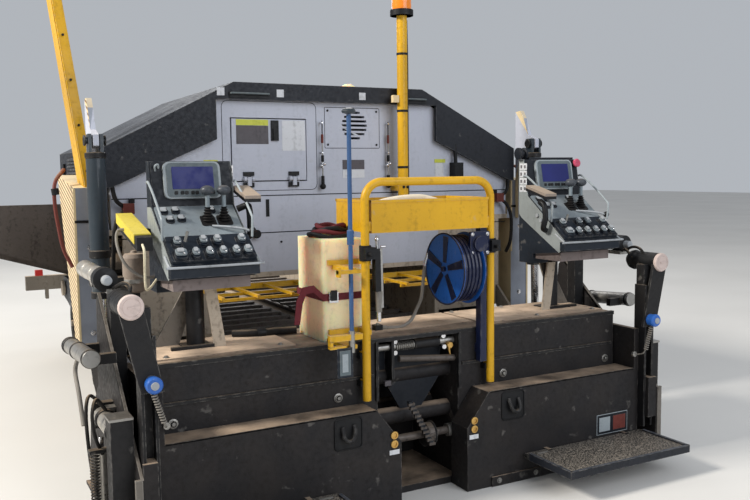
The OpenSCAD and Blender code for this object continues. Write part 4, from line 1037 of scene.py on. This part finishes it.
def tank_fittings():
    piece = Piece("tank_fittings", "screed", "tank_plastic").use("strap_maroon")
    low_x, high_x, low_y, high_y = -0.435, -0.245, 0.19, 0.47
    z = 0.888
    for start, end in (
        ((low_x - 0.003, low_y - 0.003), (high_x + 0.003, low_y + 0.001)),
        ((low_x - 0.003, low_y - 0.003), (low_x + 0.001, high_y + 0.003)),
        ((high_x - 0.001, low_y - 0.003), (high_x + 0.003, high_y + 0.003)),
        ((low_x - 0.003, high_y - 0.001), (high_x + 0.003, high_y + 0.003)),
    ):
        piece.box((*start, z), (*end, z + 0.03), 0.001)
    piece.use("bright_steel").box((-0.412, low_y - 0.012, 0.88), (-0.37, low_y - 0.002, 0.926), 0.003)
    piece.use("black_plastic").box((-0.406, low_y - 0.022, 0.89), (-0.38, low_y - 0.012, 0.934), 0.004)
    # Loose end of the strap, over the edge and down beside the tank
    piece.use("strap_maroon").prism(
        "y", 0.186, 0.189,
        [(-0.436, 0.918), (-0.48, 0.96), (-0.53, 0.955), (-0.56, 0.9), (-0.572, 0.8), (-0.546, 0.798),
         (-0.532, 0.885), (-0.515, 0.925), (-0.482, 0.93), (-0.436, 0.89)], 0.001,
    )
    piece.use("tank_plastic").lathe(
        (-0.34, 0.33, 1.148), UP, [(0, 0.05), (0.012, 0.05), (0.014, 0.044), (0.018, 0.044)], 24
    )
    # Coils of strap and hose heaped on the lid
    for paint, start, rise in (
        ("black_plastic", 0.0, 0.0), ("strap_maroon", 0.6, 0.012),
        ("black_plastic", 1.3, 0.024), ("strap_maroon", 2.1, 0.036),
    ):
        heap = []
        for turn in range(10):
            angle = start + turn * 0.7
            heap.append((
                -0.335 + (0.1 - rise) * math.cos(angle), 0.32 + (0.08 - rise) * math.sin(angle),
                1.16 + rise + 0.008 * math.sin(turn * 1.7),
            ))
        piece.use(paint).tube(heap, 0.01, 8, 3)
    piece.use("yellow")
    for z in (0.742, 1.04):
        piece.box((low_x + 0.02, low_y - 0.012, z), (high_x - 0.006, low_y + 0.002, z + 0.022), 0.003)
        piece.box((high_x - 0.03, 0.093, z), (high_x - 0.012, low_y, z + 0.022), 0.003)
    piece.done()

    roll = Piece("deck_roll", "screed", "black_paint")
    roll.use("rubber").tube(
        [(-0.735, 0.5, 0.728), (-0.69, 0.47, 0.73), (-0.62, 0.455, 0.729), (-0.55, 0.45, 0.73),
         (-0.49, 0.44, 0.729), (-0.46, 0.43, 0.73)], 0.017, 12,
    )
    roll.use("black_plastic").rod((-0.64, 0.457, 0.729), (-0.6, 0.455, 0.729), 0.021)
    roll.done()


def reel_fittings():
    x, y, z = REEL_PLACE
    reel = Piece("reel_hose", "hose_reel", "reel_blue").use("navy")
    for column in range(5):
        for radius in (0.132, 0.146):
            turn = circle((x + 0.018 + column * 0.0195, y, z), AHEAD, UP, radius, 36)
            reel.tube(turn, 0.0095, 8, 0, closed=True)
    for edge in (x - 0.001, x + REEL_WIDTH + 0.001):
        reel.tube(circle((edge, y, z), AHEAD, UP, 0.163, 48), 0.004, 8, 0, closed=True)
    for k in range(5):
        angle = math.tau * k / 5 + 0.4
        spoke = []
        for reach, half in ((0.03, -0.012), (0.15, -0.02), (0.15, 0.02), (0.03, 0.012)):
            spoke.append((y + reach * math.cos(angle) + half * math.sin(angle),
                          z + reach * math.sin(angle) - half * math.cos(angle)))
        reel.prism("x", x - 0.004, x, spoke, 0.001)
    reel.done()

    stand = Piece("reel_guides", "screed", "frame_blue")
    stand.use("navy").prism("y", 0.076, 0.09, rounded((0.24, 1.052), (0.345, 1.16), 0.008), 0.003)
    stand.rod((0.29, 0.078, 1.105), (0.29, 0.06, 1.105), 0.036, segments=24)
    corners = [(bolt_x, 0.076, bolt_z) for bolt_x in (0.252, 0.333) for bolt_z in (1.064, 1.148)]
    stand.use("bright_steel").bolts(corners, -AHEAD, 0.006, 0.006)
    stand.use("navy").box((0.304, 0.088, 0.64), (0.31, 0.126, 1.04), 0.002)
    stand.done()

    hose = Piece("reel_lead", "screed", "black_paint")
    hose.use("bright_steel").rod((0.186, 0.35, 1.046), (0.168, 0.352, 0.985), 0.01)
    hose.use("hose_grey").tube(
        [(0.205, 0.33, 1.08), (0.186, 0.35, 1.04), (0.168, 0.352, 0.98), (0.16, 0.352, 0.918),
         (0.148, 0.35, 0.838), (0.11, 0.33, 0.79), (0.06, 0.3, 0.745), (0.0, 0.29, 0.722),
         (-0.08, 0.3, 0.722)], 0.008, 10,
    )
    # Elbow on the deck that the lead goes into
    hose.use("steel").rod((-0.07, 0.299, 0.722), (-0.1, 0.302, 0.722), 0.012, segments=6)
    hose.use("black_paint").box((-0.135, 0.284, DECK_Z), (-0.098, 0.32, DECK_Z + 0.03), 0.004)
    hose.use("steel").bolts([(-0.116, 0.302, DECK_Z + 0.03)], UP, 0.007)
    hose.done()


# Screed, its extensions and the drive between them


def screed_fittings():
    # The deck plates' pale tops are dust and painted sunlight
    deck = Piece("deck_plates", "screed", "charcoal").use("deck_dust")
    for low, high, near in ((-1.145, -0.56, 0.2), (0.4, 1.145, 0.2), (-0.23, 0.38, 0.26)):
        deck.box((low, near, DECK_Z - 0.001), (high, 0.545, DECK_Z + 0.006), 0.002)
    deck.use("black_paint").box((-1.16, 0.13, DECK_Z - 0.014), (1.16, 0.15, DECK_Z + 0.004), 0.004)
    heads = [(x, y, DECK_Z + 0.006) for x in (-1.1, -0.62, 0.43, 0.74, 1.1) for y in (0.225, 0.52)]
    deck.use("steel").bolts(heads, UP)
    deck.use("label_grey").panel(SCREED_REAR, (-0.172, 0.498), (-0.142, 0.52), 0.003, 0.001, 0.012)
    deck.done()

    bolts = Piece("screed_bolts", "screed", "worn_steel").use("steel")
    for x, z in ((-1.105, 0.475), (-0.4, 0.478), (1.105, 0.475), (0.465, 0.478)):
        bolts.lathe((x, SCREED_REAR, z), -AHEAD, [(0, 0.02), (0.004, 0.02), (0.005, 0.015), (0.01, 0.015)])
        bolts.bolts([(x, SCREED_REAR - 0.008, z)], -AHEAD, 0.009, 0.006)
    bolts.use("black_paint")
    bolts.panel(SCREED_REAR, (-1.14, 0.548), (-0.23, 0.56), 0.01, 0.003)
    bolts.panel(SCREED_REAR, (0.23, 0.548), (1.14, 0.56), 0.01, 0.003)
    for low in (-0.22, 0.208):
        bolts.panel(SCREED_REAR, (low, 0.44), (low + 0.012, 0.7), 0.012, 0.003, 0.01)
    bolts.done()

    # Middle bay: spring and cylinder side by side, drive shaft and hanging chain
    drive = Piece("screed_drive", "screed", "worn_steel")
    housing = [(-0.165, 0.66), (-0.165, 0.56), (-0.05, 0.36), (0.06, 0.36), (0.165, 0.5), (0.165, 0.66)]
    drive.use("head_black").prism("y", 0.215, 0.235, housing, 0.004)
    spring = coil((-0.1, 0.18, 0.66), (-0.0028, 0.18, 0.66), AHEAD, UP, 0.02, 82, 9)
    drive.use("steel").tube(spring, 0.0035, 6, 1)
    drive.use("black_paint").rod((0.0, 0.18, 0.66), (0.13, 0.18, 0.66), 0.024)
    drive.use("worn_steel").rod((-0.085, 0.165, 0.605), (0.208, 0.165, 0.577), 0.015)
    bracket = [(0.15, 0.7), (0.236, 0.7), (0.236, 0.52), (0.19, 0.47), (0.15, 0.52)]
    drive.use("black_paint").prism("x", -0.128, -0.116, bracket, 0.003)
    drive.use("bright_steel")
    for x, z in ((-0.105, 0.684), (-0.105, 0.634), (0.148, 0.684), (0.153, 0.634)):
        drive.rod((x, 0.158, z), (x, 0.2, z), 0.012, segments=12)
    drive.use("brass").rod((0.18, 0.15, 0.64), (0.18, 0.185, 0.64), 0.016, segments=6)
    drive.rod((0.18, 0.168, 0.64), (0.19, 0.168, 0.585), 0.008, 0.004)
    sleeve = [(0, 0.046), (0.004, 0.057), (0.01, 0.05), (0.038, 0.05), (0.045, 0.057), (0.049, 0.046)]
    drive.use("black_paint").lathe((0.033, 0.158, 0.245), RIGHT, sleeve, 24)
    drive.use("steel").rod((-0.205, 0.158, 0.245), (-0.15, 0.158, 0.245), 0.034, segments=20)
    drive.rod((0.16, 0.158, 0.245), (0.205, 0.158, 0.245), 0.03, segments=20)
    for link in range(CHAIN_LINKS):
        place = Vector((-0.05, 0.128, 0.41)).lerp(Vector((0.045, 0.1, 0.215)), link / (CHAIN_LINKS - 1))
        paint, wide = ("worn_steel", 0.016) if link % 2 else ("head_black", 0.011)
        reach = Vector((wide, 0.007, 0.0058))
        drive.use(paint).box(place - reach, place + reach, 0.002)
    drive.done()


def extension_fittings():
    for name, side in SIDES:
        piece = Piece(f"extension_fittings_{name}", f"extension_{name}", "worn_steel", side)
        piece.use("brass")
        for z in (0.322, 0.284):
            piece.lathe((0.205, 0, z), -AHEAD, [(0, 0.017), (0.006, 0.017), (0.007, 0.01), (0.003, 0.009)])
        piece.use("label_pale").panel(0.0, (0.18, 0.238), (0.228, 0.258), 0.0015, 0.0004)
        # Lifting recess with its hook; the recess is a flat dark plate in a dark rim, painted shade in place
        # of the hollow
        recess = rounded((0.362, 0.302), (0.478, 0.424), 0.016)
        piece.use("black_plastic").prism("y", -0.002, 0.001, recess, 0.001)
        piece.seam("y", -0.002, rounded((0.358, 0.298), (0.482, 0.428), 0.018), 0.004)
        piece.use("black_paint").tube(
            [(0.395, -0.002, 0.395), (0.395, -0.016, 0.372), (0.405, -0.022, 0.345), (0.425, -0.022, 0.335),
             (0.445, -0.02, 0.348), (0.448, -0.012, 0.372), (0.448, -0.002, 0.392)], 0.009, 10,
        )
        piece.use("screed_dark").box((0.29, 0.0, 0.436), (1.17, 0.006, 0.443), 0.002)
        piece.box((0.3, -0.008, 0.0), (1.17, 0.001, 0.045))
        piece.use("steel").bolts([(x, -0.007, 0.024) for x in (0.34, 0.55, 0.76, 0.97, 1.14)], -AHEAD)
        piece.done()
    plate = Piece("extension_plate_right", "extension_right", "worn_steel")
    for paint, low, high, bevel in (
        ("bezel_rim", (0.93, -0.0015, 0.135), (1.13, 0.0, 0.235), 0.0005),
        ("head_black", (0.933, -0.0022, 0.138), (1.127, -0.001, 0.232), 0.0003),
        ("bezel_rim", (0.945, -0.003, 0.15), (1.015, -0.002, 0.22), 0.0003),
        ("dark_red", (1.035, -0.003, 0.15), (1.115, -0.002, 0.22), 0.0003),
    ):
        plate.use(paint).box(low, high, bevel)
    plate.done()


# Gate guides and end gates


def gate_guide_fittings(name, side):
    """Handwheel's disc, blue knob with its coiled lead, and the slope motor's rings and hoses."""
    piece = Piece(f"gate_fittings_{name}", f"extension_{name}", "black_paint", side)
    x, z = HANDWHEEL
    disc = [(0, 0.0455), (0.01, 0.046), (0.016, 0.042), (0.017, 0.034), (0.0155, 0.032)]
    disc += [(0.017, 0.03), (0.017, 0)]
    piece.use("disc_pink").lathe((x, -0.048, z), -AHEAD, disc, 36)
    piece.box((x - 0.014, -0.068, z - 0.003), (x + 0.014, -0.062, z + 0.003), 0.001)
    piece.use("black_plastic").lathe(
        (x, 0.1, z), AHEAD, [(0, 0.046), (0.012, 0.05), (0.03, 0.046), (0.05, 0.03)], 24
    )
    x, z = BLUE_KNOB
    knob = [(0, 0.026), (0.004, 0.031), (0.016, 0.031), (0.022, 0.026), (0.024, 0.016)]
    piece.use("knob_blue").lathe((x, -0.074, z), -AHEAD, knob, 28)
    piece.use("knob_pale").rod((x, -0.094, z), (x, -0.102, z), 0.015)
    lead = coil((1.22, -0.062, 0.655), (1.186, -0.062, 0.545), RIGHT, AHEAD, 0.009, 89, 8)
    piece.use("hose_grey").tube(lead, 0.003, 6, 1)
    piece.tube([(1.186, -0.06, 0.545), (1.18, -0.05, 0.525), (1.168, -0.02, 0.515)], 0.003, 6)
    piece.use("steel").rod((1.165, -0.014, 0.515), (1.165, 0.0, 0.515), 0.014)

    x, z = SLOPE_MOTOR
    cover = [(0, 0.0345), (0.01, 0.0365), (0.03, 0.034), (0.032, 0.02)]
    band = [(0, 0.034), (0.002, 0.0365), (0.01, 0.0365), (0.012, 0.034)]
    flange = [(0, 0.036), (0.006, 0.046), (0.06, 0.046), (0.066, 0.034)]
    for paint, y, profile, segments in (
        ("aluminium", 0.66, cover, 24), ("aluminium", 0.4, band, 24), ("aluminium", 0.56, band, 24),
        ("black_plastic", 0.215, flange, 24),
        ("knob_pale", 0.18, [(0, 0.012), (0.004, 0.018), (0.04, 0.02)], 20),
    ):
        piece.use(paint).lathe((x, y, z), AHEAD, profile, segments)
    piece.use("steel").box((1.262, 0.2, 0.99), (1.318, 0.3, 1.006), 0.004)
    lead = [(1.296, 0.2, 1.01), (1.275, 0.12, 1.035), (1.262, 0.06, 1.03), (1.272, 0.04, 1.0)]
    piece.use("rubber").tube(lead, 0.007)
    piece.tube(
        [(1.29, 0.22, 1.0), (1.262, 0.16, 1.02), (1.25, 0.1, 0.985), (1.245, 0.04, 0.95),
         (1.24, 0.035, 0.9)], 0.007,
    )
    piece.done()


def gate_hardware(name, side):
    """Strips, cylinders, spring and hoses on the outer side of an end gate."""
    gate = Piece(f"gate_hardware_{name}", f"end_gate_{name}", "worn_steel", side)
    edge = GATE_EDGE
    gate.use("worn_pale").box((edge - 0.008, -0.066, 0.0), (edge + 0.018, -0.052, 0.348), 0.004)
    strip = [(-0.066, 0.346), (-0.052, 0.346), (0.65, 0.926), (0.64, 0.938)]
    gate.prism("x", edge - 0.012, edge, strip, 0.003)
    gate.use("steel").box((edge, 0.015, 0.549), (edge + 0.086, 0.115, 0.558))
    # Cylinder that lies along the gate, with its end rings, brackets and hose
    near, far = Vector((edge + 0.102, 0.23, 0.741)), Vector((edge + 0.102, 0.76, 0.702))
    along = (far - near).normalized()
    gate.use("steel").rod(near, far, 0.034, segments=28)
    gate.use("black_paint")
    for share in (0.02, 0.55, 0.9, 0.97):
        place = near.lerp(far, share)
        gate.rod(place, place + along * 0.016, 0.037, segments=28)
    for share in (0.12, 0.8):
        y, z = near.lerp(far, share).yz
        gate.box((edge, y - 0.014, z - 0.03), (edge + 0.08, y + 0.014, z + 0.01))
    hose = ((0.62, 0.0, -0.03), (0.66, 0.01, -0.09), (0.5, 0.012, -0.17), (0.36, 0.01, -0.29))
    gate.use("hose_grey").tube(
        [near.lerp(far, share) + RIGHT * out + UP * rise for share, out, rise in hose], 0.009, 10
    )
    # Upright cylinder's bracket, pin and rings, and the spring below
    gate.use("black_paint").box((edge, 0.38, 0.43), (edge + 0.075, 0.42, 0.53), 0.004)
    gate.use("bright_steel").rod((edge + 0.045, 0.398, 0.48), (edge + 0.045, 0.52, 0.48), 0.014)
    gate.use("black_paint")
    for y in (0.104, 0.3):
        ends = [(0, 0.036), (0.003, 0.041), (0.026, 0.041), (0.029, 0.036)]
        gate.lathe((edge + 0.045, y, 0.48), AHEAD, ends, 24)
    spring = coil((edge + 0.11, 0.21, 0.08), (edge + 0.11, 0.21, 0.3905), RIGHT, AHEAD, 0.016, 208, 8)
    gate.tube(spring, 0.0035, 6, 1)
    gate.box((edge, 0.195, 0.385), (edge + 0.13, 0.225, 0.4))
    gate.box((edge, 0.195, 0.06), (edge + 0.13, 0.225, 0.08))
    gate.use("aluminium").rod((edge + 0.075, 0.26, 0.08), (edge + 0.075, 0.26, 0.38), 0.028, segments=20)
    gate.use("bright_steel").rod((edge + 0.075, 0.26, 0.38), (edge + 0.075, 0.26, 0.43), 0.01)
    gate.use("black_paint").box((edge, 0.24, 0.09), (edge + 0.07, 0.28, 0.12))
    for hose in (
        (
            (0.045, 0.3, 0.52), (0.085, 0.27, 0.575), (0.11, 0.22, 0.53), (0.105, 0.2, 0.45),
            (0.075, 0.235, 0.37),
        ),
        ((0.045, 0.38, 0.52), (0.095, 0.36, 0.57), (0.12, 0.3, 0.5), (0.11, 0.28, 0.3), (0.08, 0.285, 0.14)),
    ):
        gate.use("rubber").tube([(edge + x, y, z) for x, y, z in hose], 0.007)
    gate.use("steel").bolts([(edge, y, 0.2) for y in (0.4, 0.7)], RIGHT)
    gate.done()


def sensor_and_canister():
    # Long narrow box that falls toward the rear, carried on the console's flank
    sensor = Piece("sensor_box", "console_left", "safety_yellow")
    for paint, low_x, high_x, outline in (
        ("black_plastic", -1.196, -1.136, [(0.225, 1.14), (0.225, 1.192), (0.585, 1.262), (0.585, 1.212)]),
        ("sensor_yellow", -1.199, -1.133, [(0.262, 1.165), (0.262, 1.204), (0.59, 1.272), (0.59, 1.232)]),
    ):
        sensor.use(paint).prism("x", low_x, high_x, outline, 0.006)
    sensor.use("black_plastic").box((-1.14, 0.38, 1.17), (-1.1, 0.425, 1.215), 0.004)
    sensor.use("cord_pale").tube(
        [(-1.176, 0.224, 1.166), (-1.174, 0.205, 1.14), (-1.17, 0.225, 1.07), (-1.165, 0.24, 0.995),
         (-1.14, 0.29, 0.985), (-1.1, 0.33, 1.015)], 0.005,
    )
    sensor.use("hose_grey").tube(
        [(-1.19, 0.441, 1.214), (-1.225, 0.44, 1.205), (-1.235, 0.4, 1.15), (-1.215, 0.36, 1.08),
         (-1.16, 0.35, 1.03), (-1.1, 0.36, 1.02)], 0.006,
    )
    sensor.done()

    can = Piece("canister", "screed", "worn_steel")
    shell = [(0, 0.03), (0.008, 0.048), (0.15, 0.05), (0.166, 0.04), (0.17, 0.015), (0.18, 0.012)]
    can.use("brown_pad").lathe((-1.125, 0.62, 0.93), UP, shell, 28)
    can.use("steel").rod((-1.125, 0.62, 0.972), (-1.125, 0.62, 0.99), 0.0515, segments=28)
    can.use("black_paint").box((-1.142, 0.6, 0.5), (-1.108, 0.64, 0.935), 0.004)
    can.done()


# Wheels, hopper and front end


def running_gear():
    for name, side in SIDES:
        rim = Piece(f"rim_fittings_{name}", f"rear_wheel_{name}", "safety_yellow", side)
        y, z = REAR_AXLE
        rim.use("steel").bolts(circle((0.912, y, z), AHEAD, UP, 0.19, 10), RIGHT, 0.013, 0.016)
        rim.bolts(circle((0.998, y, z), AHEAD, UP, 0.055, 6), RIGHT, 0.007)
        rim.use("black_plastic").rod((0.905, y, z + 0.235), (0.95, y, z + 0.235), 0.006)
        rim.done()

        hub = Piece(f"front_hub_fittings_{name}", f"front_wheel_{name}", "safety_yellow", side)
        y, z = FRONT_AXLE
        hub.use("yellow").lathe(
            (0.82, y, z), RIGHT, [(0, 0.15), (0.012, 0.148), (0.014, 0.08), (0.045, 0.072), (0.05, 0.032)], 28
        )
        hub.use("steel").bolts(circle((0.832, y, z), AHEAD, UP, 0.115, 6), RIGHT, 0.01)
        hub.done()

        wing = Piece(f"wing_fittings_{name}", f"hopper_wing_{name}", "worn_steel", side)
        wing.use("screed_dark").box((1.52, 2.505, 1.25), (1.556, 4.375, 1.266), 0.004)
        wing.use("yellow").box((1.549, 4.34, 1.01), (1.557, 4.38, 1.25), 0.002)
        wing.use("steel").bolts([(1.54, y, 1.266) for y in (2.6, 3.1, 3.6, 4.1)], UP)
        wing.done()

        roller = Piece(f"roller_fittings_{name}", f"push_roller_{name}", "worn_steel", side).use("steel")
        for x in (0.056, 0.616):
            ends = [(0, 0.06), (0.002, 0.0765), (0.01, 0.0765), (0.012, 0.06)]
            roller.lathe((x, 4.78, 0.52), RIGHT, ends, 32)
        roller.done()

    front = Piece("front_fittings", "tractor", "frame_grey")
    for x in (-0.95, 0.95):
        front.use("lens_clear").box((x - 0.074, 2.398, 1.434), (x + 0.074, 2.405, 1.506))
        lamp_rim = rounded((x - 0.08, 1.428), (x + 0.08, 1.512), 0.012)
        front.use("black_plastic").seam("y", 2.402, lamp_rim, 0.005)
    for x in (-1.1, 1.04):
        front.use("red").box((x, 4.64, 0.58), (x + 0.06, 4.69, 0.63), 0.005)
    heads = [(x, 4.69, z) for x in (-1.1, -0.8, 0.8, 1.1) for z in (0.49, 0.55)]
    front.use("steel").bolts(heads, AHEAD, 0.014, 0.012)
    front.done()

    flap = Piece("hopper_rubber", "tractor", "tyre_rubber").use("rubber")
    flap.box((-0.64, 4.395, 0.5), (0.64, 4.408, 0.735), 0.004)
    flap.done()


def catwalk_fittings(name, side):
    piece = Piece(f"catwalk_frame_{name}", f"catwalk_{name}", "black_paint", side).use("charcoal")
    low_x, high_x, low_y, high_y = 0.48, 1.2, -0.33, -0.046
    for start, end in (
        ((low_x, low_y - 0.002), (high_x, low_y + 0.012)),
        ((low_x - 0.002, low_y), (low_x + 0.012, high_y)),
        ((high_x - 0.012, low_y), (high_x + 0.002, high_y)),
    ):
        piece.box((*start, 0.104), (*end, 0.138))
    piece.use("steel").box((0.52, high_y - 0.01, 0.13), (0.58, high_y, 0.136), 0.001)
    piece.done()


wall_fittings()
door_fittings()
hood_fittings()
mast_fittings()
corner_fittings()
for side_name, side_sign in SIDES:
    console(side_name, side_sign)
console_legs()
hoop_fittings()
tank_fittings()
reel_fittings()
screed_fittings()
extension_fittings()
for side_name, side_sign in SIDES:
    gate_guide_fittings(side_name, side_sign)
    gate_hardware(side_name, side_sign)
sensor_and_canister()
running_gear()
for side_name, side_sign in SIDES:
    catwalk_fittings(side_name, side_sign)


# Floor and light


def pale_floor():
    shader = Shader("floor_pale")
    tone = shader.spread(shader.noise(0.6, 3.0), 0.3, 0.7)
    colour = shader.mix(tone, srgb(206, 204, 200), srgb(214, 212, 208))
    return shader.finish(colour, 0.85, shader.noise(80.0), 0.05)


def make_floor():
    data = bpy.data.meshes.new("floor")
    reach = 40.0
    data.from_pydata(
        [(-reach, -reach, -0.001), (reach, -reach, -0.001), (reach, reach, -0.001), (-reach, reach, -0.001)],
        [], [(0, 1, 2, 3)],
    )
    data.materials.append(pale_floor())
    floor = bpy.data.objects.new("floor", data)
    bpy.context.scene.collection.objects.link(floor)


def make_light():
    scene = bpy.context.scene
    scene.view_settings.view_transform = "Standard"
    world = bpy.data.worlds.new("studio")
    scene.world = world
    world.use_nodes = True
    world.node_tree.nodes["Background"].inputs["Color"].default_value = (0.88, 0.93, 1.0, 1)
    world.node_tree.nodes["Background"].inputs["Strength"].default_value = 0.5
    # Name, place, size, power and colour of each lamp
    lamps = (
        ("key", (-10.0, -0.4, 8.2), 2.2, 2200, (1.0, 0.95, 0.87)),
        ("fill", (2.0, -9.0, 4.5), 6.0, 400, (0.92, 0.95, 1.0)),
        ("front", (3.0, 8.0, 6.0), 5.0, 200, (1.0, 1.0, 1.0)),
    )
    for name, place, size, power, colour in lamps:
        data = bpy.data.lights.new(name, "AREA")
        data.size = size
        data.energy = power
        data.color = colour
        lamp = bpy.data.objects.new(name, data)
        lamp.location = place
        lamp.rotation_euler = (Vector((0, 0, 0.8)) - Vector(place)).to_track_quat("-Z", "Y").to_euler()
        scene.collection.objects.link(lamp)


make_floor()
make_light()
